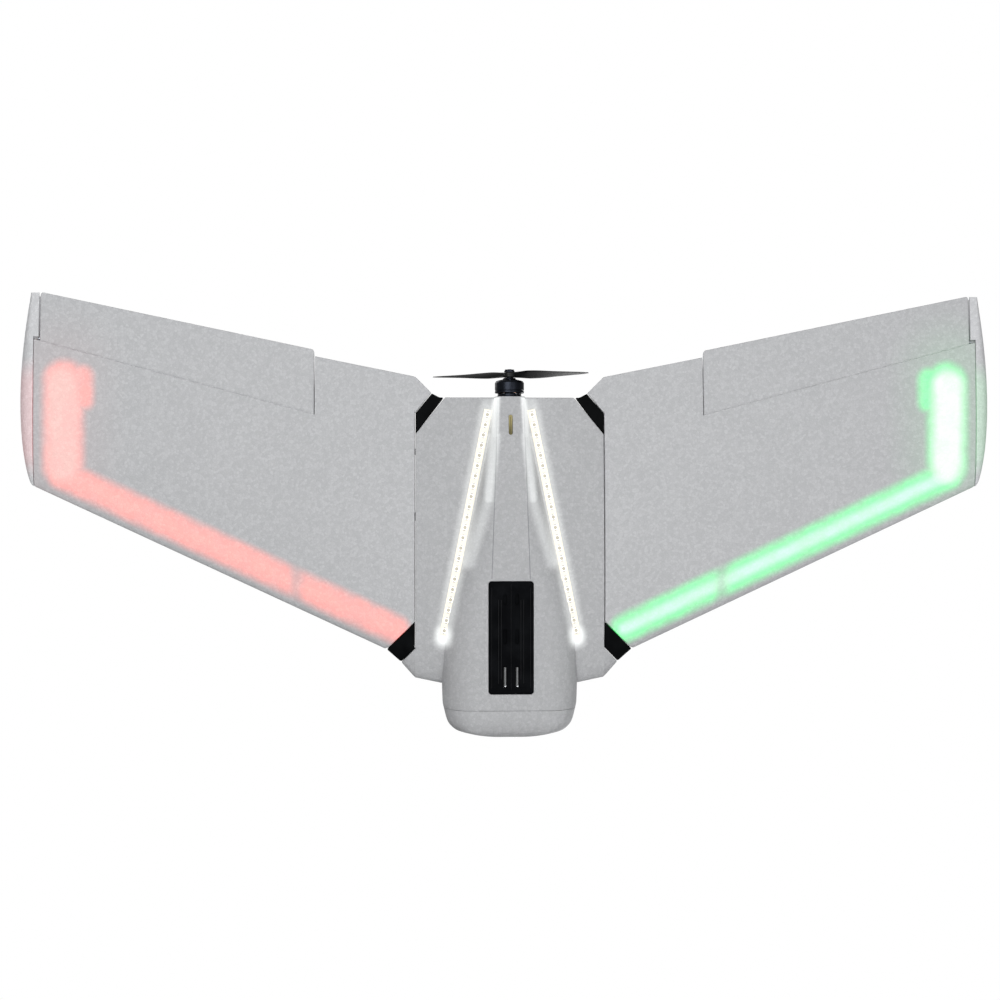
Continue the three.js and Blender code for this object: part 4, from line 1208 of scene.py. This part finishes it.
def build_hatch():
    lid = pod_part("hatch_lid", *HATCH_Y)
    half = [(34, -164), (34, -100), (20, -6)]
    hollow = half + [(-x, y) for x, y in reversed(half)]
    tools = [block("below", (-90, 90), (-200, 60), (-20, HATCH_SEAM_Z)),
             prism("hollow", hollow, 0, HATCH_SEAM_Z + 4)]
    tools += [bar("magnet room", (0, y, HATCH_SEAM_Z - 1), (0, y, HATCH_SEAM_Z + CATCH_DEPTH), CATCH_RADIUS)
              for y in CATCH_Y]
    tools.append(lathe("finger notch", [(0, -4), (9, -4), (9, 4), (0, 4)], (0, HATCH_Y[1], 55), "z", 40))
    place(cut(lid, *tools), "hatch", ["top_hatch"], "foam")


# ---------------------------------------------------------------- belly plate

PLATE_SLOTS = [(-77, 5), (-110.5, 7), (-147, 10)]
SLOT_X = 5.5
SLOT_HALF_WIDTH = 1.9
SLOT_DEPTH = 2.3

# Each rib's distance from the middle, its ends and its width.
PLATE_RIBS = [(8.9, (-150, -76), 0.5), (11.4, (-154, -76), 0.5), (17.6, (-158, -65), 0.4)]


def build_plate():
    """The belly plate: slots in pairs, moulded ribs, a seam along the middle and two pins."""
    plate = prism("plate", plate_outline(0), 0, PLATE_DEPTH, 0.5)
    tools = []
    for y, half_length in PLATE_SLOTS:
        for x in (-SLOT_X, SLOT_X):
            outline = slot_outline(x, y, SLOT_HALF_WIDTH, half_length)
            tools.append(prism("plate slot", outline, -2, SLOT_DEPTH))
    ribs = [(side * x, y, width) for x, y, width in PLATE_RIBS for side in (-1, 1)]
    ribs.append((0, (-160, -62), 0.4))
    tools += [block("groove", centred(x, width + 0.7), y, (-1, 0.5)) for x, y, width in ribs]
    parts = [(cut(plate, *tools), "plate_plastic")]
    parts += [(block("rib", centred(x, width), grown(y, -1), (0.05, 0.8), 0.1), "rib_plastic")
              for x, y, width in ribs]
    place(joined("belly_plate_moulding", parts), "airframe", ["belly_plate"], None, 30)
    parts = []
    y = PLATE_SLOTS[2][0]
    for x in (-SLOT_X, SLOT_X):
        parts.append((bar("pin", (x, y - 8, 1.7), (x, y + 8.8, 1.7), 1.55, 24), "pin"))
        tip = lathe("pin tip", [(0, -0.7), (1, -0.5), (1.3, 0), (1, 0.5), (0, 0.7)], (x, y - 8, 1), "z", 24)
        parts.append((tip, "magnet"))
    place(joined("belly_plate_pins", parts), "airframe")
    # A tan insert near the slot's mouth stands in for the plywood lit deep inside the slot: painted light.
    liner = prism("liner", slot_outline(0, COOLING_SLOT_Y, 1.7, 9.1), 10.4, 14, 0.35)
    liner = cut(liner, prism("liner slot", slot_outline(0, COOLING_SLOT_Y, 0.45, 7.4), 9, 11.6))
    place(liner, "airframe", (), "olive")
    liner.name = "cooling_slot_liner"


# ---------------------------------------------------------------- light strips

def points_along(route, pitch):
    """Evenly spaced (x, y, direction) along straight runs in plan."""
    found = []
    for (x0, y0), (x1, y1) in zip(route, route[1:]):
        length = math.hypot(x1 - x0, y1 - y0)
        count = max(2, round(length / pitch))
        for k in range(count):
            share = (k + 0.5) / count
            found.append((x0 + (x1 - x0) * share, y0 + (y1 - y0) * share, math.atan2(y1 - y0, x1 - x0)))
    return found


def diode(x, y, z, angle, side, body, dot):
    """One surface-mounted diode: its case, a round window, and two solder joints."""
    half = 2.1
    outline = [(0, -0.1), (1.6, -0.1), (1.7, 0), (1.6, 0.1), (0, 0.1)]
    turn = Matrix.Translation((x, y, z)) @ Matrix.Rotation(angle, 4, "Z")
    case = moved(block("case", (-half, half), (-half, half), (-0.5, 0.5), 0.25), turn)
    window = lathe("window", outline, (0, 0, side * 0.52), "z", 16)
    joints = [block("joint", centred(s, 0.7), (-1, 1), (-0.45, 0.1), 0.12) for s in (-2.6, 2.6)]
    parts = [(case, body), (moved(window, turn), dot)]
    return parts + [(moved(joint, turn), "solder") for joint in joints]


def build_belly_lights():
    parts = []
    for x, y, angle in points_along(BELLY_STRIP, LED_PITCH):
        z = WING_PLANE - half_height(x, y) - GAP - BELLY_STRIP_DEPTH - DIODE_RAISE
        parts += diode(x, y, z, angle, -1, "white_diode", "phosphor")
    lights = joined("port_belly_diodes", parts)
    place_pair("belly_diodes", lights, "airframe", None)


def nav_point(x):
    return (x, leading_edge(x) + NAV_INSET)


def build_nav_lights():
    route = [nav_point(106), nav_point(191)]
    places = points_along(route, LED_PITCH) + points_along([nav_point(207), nav_point(411)], LED_PITCH)
    places += points_along([(413, 44), (413, 134), (389, 134), (389, 99)], LED_PITCH)
    for side, sign in SIDES.items():
        parts = []
        for x, y, angle in places:
            z = WING_PLANE + half_height(x, y) + GAP + NAV_STRIP_DEPTH + DIODE_RAISE
            parts += diode(x, y, z, angle, 1, f"{side}_nav_diode", "phosphor")
        lights = joined("nav diodes", parts)
        if sign < 0:
            copy = mirrored(lights, "nav mirrored")
            bpy.data.objects.remove(lights)
            lights = copy
        lights.name = f"{side}_nav_diodes"
        place(lights, f"{side}_wing")


# ---------------------------------------------------------------- motor and propeller

def motor_lathe(name, profile, sides=64):
    return lathe(name, profile, (0, 0, MOTOR_Z), "y", sides)


def build_motor():
    base = motor_lathe("base", [
        (0, 108.4), (11.2, 108.4), (11.6, 108.8), (11.6, 109.6), (10.9, 110.2), (10.9, 111.4),
        (10.4, 111.8), (4, 111.8), (4, 120.6), (2, 120.6), (2, 110.5), (0, 110.5),
    ])
    screw = [(0, 111.2), (1.6, 111.2), (1.6, 112), (1.1, 112.4), (0, 112.4)]
    parts = [(base, "anodised")]
    parts += [(lathe("screw", screw, (x, 0, MOTOR_Z + z), "y", 20), "steel") for x, z in around(4, 8.2, 45)]
    place(joined("motor_base_plate", parts), "airframe", ["motor_base"])
    bell = motor_lathe("bell", [
        (0, 112), (1.5, 112), (1.5, 121), (12.1, 121), (12.1, 112.4), (13.2, 112.4), (13.5, 112.7),
        (13.5, 114), (13.1, 114.3), (13.1, 114.9), (13.5, 115.2), (13.5, 121.6), (13.3, 122.2),
        (12.4, 123.4), (12, 123.7), (6.4, 125.2), (6, 125.5), (5.7, 126.3), (5.4, 126.5), (2.5, 126.5),
        (2.5, 134), (2, 134.6), (0, 134.6),
    ])
    windows = [bar("window", (x, 121.6, MOTOR_Z + z), (x, 126.4, MOTOR_Z + z), 1.9, 20)
               for x, z in around(8, 9.6)]
    place(cut(bell, *windows), "rotor", ["motor_bell"], "anodised", 30)


def build_stator():
    """Twelve wound teeth round a laminated core."""
    outline = [(4.4, 113.6), (7.4, 113.6), (7.4, 119.6), (4.4, 119.6), (4.4, 113.6)]
    parts = [(motor_lathe("core", outline), "steel")]
    for k in range(12):
        a = 2 * math.pi * k / 12
        turn = Matrix.Translation((0, 0, MOTOR_Z)) @ Matrix.Rotation(-a, 4, "Y")
        winding = block("winding", (7, 10.2), (113.4, 119.8), (-1.5, 1.5), 0.7)
        shoe = block("shoe", (10.2, 11.3), (113.8, 119.4), (-2.3, 2.3), 0.3)
        parts += [(moved(winding, turn), "copper"), (moved(shoe, turn), "steel")]
    place(joined("stator_windings", parts), "airframe", ["motor_stator"])


BLADE_SIDES = 28


def blade_ring(values, side):
    """A blade section: flat underside and a cambered back, turned to its pitch."""
    fraction, chord, pitch, depth = values
    angle = math.radians(pitch)
    ring = []
    for k in range(BLADE_SIDES):
        a = 2 * math.pi * k / BLADE_SIDES
        c = chord / 2 * math.cos(a)
        d = depth / 2 * math.sin(a) + depth * 0.3 * math.sin(a) ** 2
        across = side * (c * math.cos(angle) - d * math.sin(angle))
        back = c * math.sin(angle) + d * math.cos(angle)
        ring.append((side * fraction * PROP_RADIUS, back, across))
    return ring


def build_propeller():
    parts = []
    for side in (1, -1):
        rings = [blade_ring(values, side) for values in smooth_rows(BLADE, 6)]
        tip = list(BLADE[-1])
        rings.append(blade_ring((tip[0] + 0.001, tip[1] * 0.4, tip[2], tip[3] * 0.4), side))
        parts.append((loft("blade", rings), "propeller"))
    hub = [(2.8, -2.1), (5.2, -2.1), (5.6, -1.7), (5.6, 1.9), (5.2, 2.3), (2.8, 2.3), (2.8, -2.1)]
    stud = [(0, -2.3), (0.55, -2.3), (0.55, 2.45), (0, 2.45)]
    parts.append((lathe("hub", hub), "propeller"))
    parts += [(lathe("hub stud", stud, (x, 0, z), "y", 12), "propeller") for x, z in around(6, 4.2)]
    prop = joined("propeller_blades", parts)
    moved(prop, Matrix.Translation((0, PROP_Y, MOTOR_Z)) @ Matrix.Rotation(PROP_TURN, 4, "Y"))
    place(prop, "rotor", ["propeller"], None, 40)


def build_nut():
    """A prop nut: a hexagon below a ring of six knurled teeth."""
    outline = [(2.8, 131.9), (4.6, 131.9), (4.9, 132.2), (4.9, 133.2), (2.8, 133.2), (2.8, 131.9)]
    hexagon = motor_lathe("hexagon", outline, 6)
    parts = [(hexagon, "anodised")]
    for k in range(6):
        turn = Matrix.Translation((0, 0, MOTOR_Z)) @ Matrix.Rotation(math.radians(60 * k + 30), 4, "Y")
        tooth = block("tooth", (2.9, 4.5), (133, 134.3), (-1, 1), 0.25)
        parts.append((moved(tooth, turn), "anodised"))
    place(joined("prop_nut_teeth", parts), "rotor", ["propeller_nut"])


# ---------------------------------------------------------------- electronics

BATTERY_CELLS = 4


def node_box(node):
    """A CAD node's pairs of x, y and z in millimetres."""
    low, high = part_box(node)
    return [(a / MM, b / MM) for a, b in zip(low, high)]


def build_battery():
    x, y, z = node_box("battery")
    parts = []
    height = (z[1] - z[0]) / BATTERY_CELLS
    for k in range(BATTERY_CELLS):
        low = z[0] + k * height
        cell = block("cell", x, grown(y, -2), grown((low, low + height), -0.05), 1.8)
        parts.append((cell, "battery_wrap"))
    for ends in ((y[0], y[0] + 4), (y[1] - 4, y[1])):
        parts.append((block("end cap", grown(x, -0.6), ends, grown(z, -0.8), 0.8), "chip"))
    label = block("label", grown(x, -4), (y[0] + 14, y[0] + 36), (z[1] - 0.3, z[1]), 0.1)
    parts.append((label, "label"))
    place(joined("battery_pack", parts), "airframe", ["battery"])


def build_strap():
    x, y, z = node_box("battery_strap")
    loop = block("strap", x, y, z, 0.6)
    loop = cut(loop, block("inside", grown(x, -1.5), grown(y, 1), (z[0] + 1.4, z[1] - 1.3)))
    soften(loop, 0.25, 2)
    skin = (z[1] - 0.2, z[1])
    parts = [(loop, "strap"), (block("strap tail", (-14, 6), grown(y, -0.6), skin, 0.1), "strap")]
    parts += [(block("stitch", (8 + s, 9.2 + s), grown(y, -3), skin, 0.08), "nylon") for s in (0, 2.4)]
    place(joined("battery_strap_webbing", parts), "airframe", ["battery_strap"])


def build_board(node, name, chips, pins):
    """A circuit board with chips at shares of its size, and a row of header pins."""
    x, y, z = node_box(node)
    board = block("board", x, y, (z[0], z[0] + 1.6), 0.3)
    parts = [(board, "circuit")]
    width = x[1] - x[0]
    length = y[1] - y[0]
    face = z[0] + 1.5
    for share_x, share_y, size_x, size_y, rise in chips:
        across = centred(x[0] + width * share_x, size_x)
        ends = centred(y[0] + length * share_y, size_y)
        top = face + (z[1] - z[0] - 1.6) * rise
        parts.append((block("chip", across, ends, (face, top), 0.25), "chip"))
        for legs_y in ((ends[0] - 0.8, ends[0]), (ends[1], ends[1] + 0.8)):
            legs = block("legs", grown(across, -0.4), legs_y, (face, face + 0.4), 0.1)
            parts.append((legs, "solder"))
    for k in range(pins):
        pin_x = centred(x[0] + width * (k + 1) / (pins + 1), 0.8)
        parts.append((block("pin", pin_x, (y[1] - 2.4, y[1] - 1.6), (face, z[1]), 0.1), "solder"))
    header = block("header", grown(x, -1.5), (y[1] - 3.3, y[1] - 0.7), (face, face + 1.9), 0.3)
    parts.append((header, "chip"))
    place(joined(name, parts), "airframe", [node])


def build_boards():
    build_board("speed_controller", "speed_controller_board",
                [(0.3, 0.35, 6, 8, 1), (0.7, 0.35, 6, 8, 1), (0.5, 0.7, 9, 4, 0.6)], 5)
    build_board("receiver", "receiver_board", [(0.5, 0.35, 6, 6, 1), (0.5, 0.68, 4, 3, 0.6)], 4)
    build_board("flight_controller", "flight_controller_board",
                [(0.5, 0.45, 9, 9, 0.6), (0.2, 0.2, 4, 4, 1), (0.8, 0.22, 4, 6, 0.8),
                 (0.78, 0.74, 3, 3, 0.5)], 7)
    build_board("light_controller", "light_controller_board",
                [(0.5, 0.5, 8, 6, 0.7), (0.2, 0.2, 3, 4, 1), (0.8, 0.25, 4, 3, 0.6)], 6)


# ---------------------------------------------------------------- servo linkage

def build_servo():
    """A micro servo: case with its seam and ears, gear tower, screws."""
    body = block("case", SERVO_X, SERVO_Y, SERVO_Z, 0.6)
    seams = ((SERVO_Y[0] - 1, SERVO_Y[0] + 0.3), (SERVO_Y[1] - 0.3, SERVO_Y[1] + 1))
    body = cut(body, *[block("seam", (x, x + 0.35), y, (-10, 10)) for y in seams for x in (39, 50.5)])
    ears = block("ears", (49, 51.2), grown(SERVO_Y, 4.6), SERVO_Z, 0.5)
    gear = bar("gear", (SERVO_X[1] - 1, ARM_Y, ARM_Z), (ARM_X - 1.1, ARM_Y, ARM_Z), 2.6)
    parts = [(body, "servo_case"), (ears, "servo_case"), (gear, "steel")]
    screw = [(0, 0), (1.3, 0), (1.3, 0.5), (0.9, 0.9), (0, 0.9)]
    parts += [(lathe("screw", screw, (51.2, y, ARM_Z), "x", 20), "steel") for y in grown(SERVO_Y, 2.3)]
    label = block("label", (36, 46), grown(SERVO_Y, -3), centred(SERVO_Z[1], 0.2), 0.05)
    parts.append((label, "label"))
    servo = at_hinge(joined("servo", parts))
    place_pair("servo_unit", servo, "wing", None, ["servo"])


CARRIED = {
    "nose_light_board": "circuit", "front_catch_plate": "steel", "rear_catch_plate": "steel",
    "front_hatch_magnet": "magnet", "rear_hatch_magnet": "magnet", "motor_mount": "plywood",
    "tail_stiffener": "plywood", "front_spar": "carbon", "rear_spar": "carbon",
}
CARRIED_PAIRS = {
    "root_socket": "black_plastic", "spar_sleeve": "carbon", "root_plug": "black_plastic",
    "servo_arm": "nylon", "pushrod": "steel", "control_horn": "black_plastic",
    "inner_hinge_pin": "steel", "outer_hinge_pin": "steel", "belly_light_strip": "white_tape",
}


def carry(node, material):
    """Keeps a CAD node, with rounded edges and a detailed material."""
    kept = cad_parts[node]
    kept.data.materials.clear()
    kept.data.materials.append(MATERIAL[material])
    kept.data.shade_smooth()
    kept.data.set_sharp_from_angle(angle=math.radians(32))
    edges = kept.modifiers.new("rounded edges", "BEVEL")
    edges.width = 0.25 * MM
    edges.segments = 2
    edges.limit_method = "ANGLE"
    edges.angle_limit = math.radians(40)
    edges.harden_normals = True


def carry_all():
    for node, material in CARRIED.items():
        carry(node, material)
    for side in SIDES:
        for node, material in CARRIED_PAIRS.items():
            carry(f"{side}_{node}", material)
        carry(f"{side}_nav_light_strip", f"{side}_nav_tape")


# ---------------------------------------------------------------- stage

def build_camera():
    """Straight up at the belly, a little off square."""
    distance = 1.5
    tilt = math.radians(2.2)
    target = Vector((0.0088, 0.0134, WING_PLANE * MM))
    data = bpy.data.cameras.new("camera")
    data.sensor_width = 36
    data.lens = 58.3
    camera = bpy.data.objects.new("camera", data)
    bpy.context.scene.collection.objects.link(camera)
    away = Vector((math.sin(tilt), 0, -math.cos(tilt)))
    right = Vector((-math.cos(tilt), 0, -math.sin(tilt)))
    turn = Matrix((right, Vector((0, 1, 0)), away)).transposed().to_4x4()
    camera.matrix_world = Matrix.Translation(target + away * distance) @ turn
    bpy.context.scene.camera = camera


def area_light(name, place_at, aim, size, power):
    data = bpy.data.lights.new(name, "AREA")
    data.shape = "DISK"
    data.size = size
    data.energy = power
    light = bpy.data.objects.new(name, data)
    light.location = place_at
    light.rotation_mode = "QUATERNION"
    light.rotation_quaternion = (Vector(aim) - Vector(place_at)).to_track_quat("-Z", "Y")
    bpy.context.scene.collection.objects.link(light)


def build_floor():
    """A pale floor that only the camera sees, and only from above."""
    half = 40.0
    corners = [(-half, -half, 0), (half, -half, 0), (half, half, 0), (-half, half, 0)]
    mesh = bpy.data.meshes.new("floor")
    mesh.from_pydata(corners, [], [(0, 1, 2, 3)])
    floor = bpy.data.objects.new("floor", mesh)
    bpy.context.scene.collection.objects.link(floor)
    shader = Shader("floor", 0.9)
    shader.paint(shader.noise(60, 3), colour(224, 224, 225), colour(230, 230, 231))
    distance = shader.vector("LENGTH", shader.place, output=1)
    far = shader.range(distance, 0.7, 3.6)
    backdrop = shader.add("Emission", {"Color": (1, 1, 1, 1), "Strength": 1.0})
    above = shader.add("MixShader", {0: far, 1: shader.surface.outputs[0], 2: backdrop.outputs[0]})
    clear = shader.add("BsdfTransparent")
    back = shader.add("NewGeometry").outputs["Backfacing"]
    both = shader.add("MixShader", {0: back, 1: above.outputs[0], 2: clear.outputs[0]})
    output = shader.tree.nodes["Material Output"]
    shader.tree.links.new(both.outputs[0], output.inputs["Surface"])
    mesh.materials.append(shader.material)
    for ray in ("diffuse", "glossy", "transmission", "shadow"):
        setattr(floor, f"visible_{ray}", False)


def build_world():
    world = bpy.data.worlds.new("studio")
    bpy.context.scene.world = world
    world.use_nodes = True
    tree = world.node_tree
    background = tree.nodes["Background"]
    seen = tree.nodes.new("ShaderNodeLightPath")
    strength = tree.nodes.new("ShaderNodeMapRange")
    strength.inputs["To Min"].default_value = 0.3
    strength.inputs["To Max"].default_value = 1.0
    background.inputs["Color"].default_value = (1, 1, 1, 1)
    tree.links.new(seen.outputs["Is Camera Ray"], strength.inputs["Value"])
    tree.links.new(strength.outputs["Result"], background.inputs["Strength"])


def build_stage():
    build_floor()
    build_world()
    bpy.context.scene.view_settings.view_transform = "Standard"
    area_light("key from below", (0.5, 0.7, -1.7), (0, 0, 0), 1.6, 24)
    area_light("fill from below", (-0.8, -0.5, -1.5), (0, 0, 0), 1.6, 13)
    area_light("key from above", (-1.4, -2.0, 3.2), (0, 0, 0), 2.4, 90)
    area_light("fill from above", (2.2, 1.6, 2.8), (0, 0, 0), 2.4, 46)


# ---------------------------------------------------------------- assembly

build_camera()
build_stage()
build_centre()
build_nose()
build_hatch()
build_panels()
build_elevons()
build_winglets()
build_locks()
build_plate()
build_belly_lights()
build_nav_lights()
build_motor()
build_stator()
build_propeller()
build_nut()
build_battery()
build_strap()
build_boards()
build_servo()
carry_all()
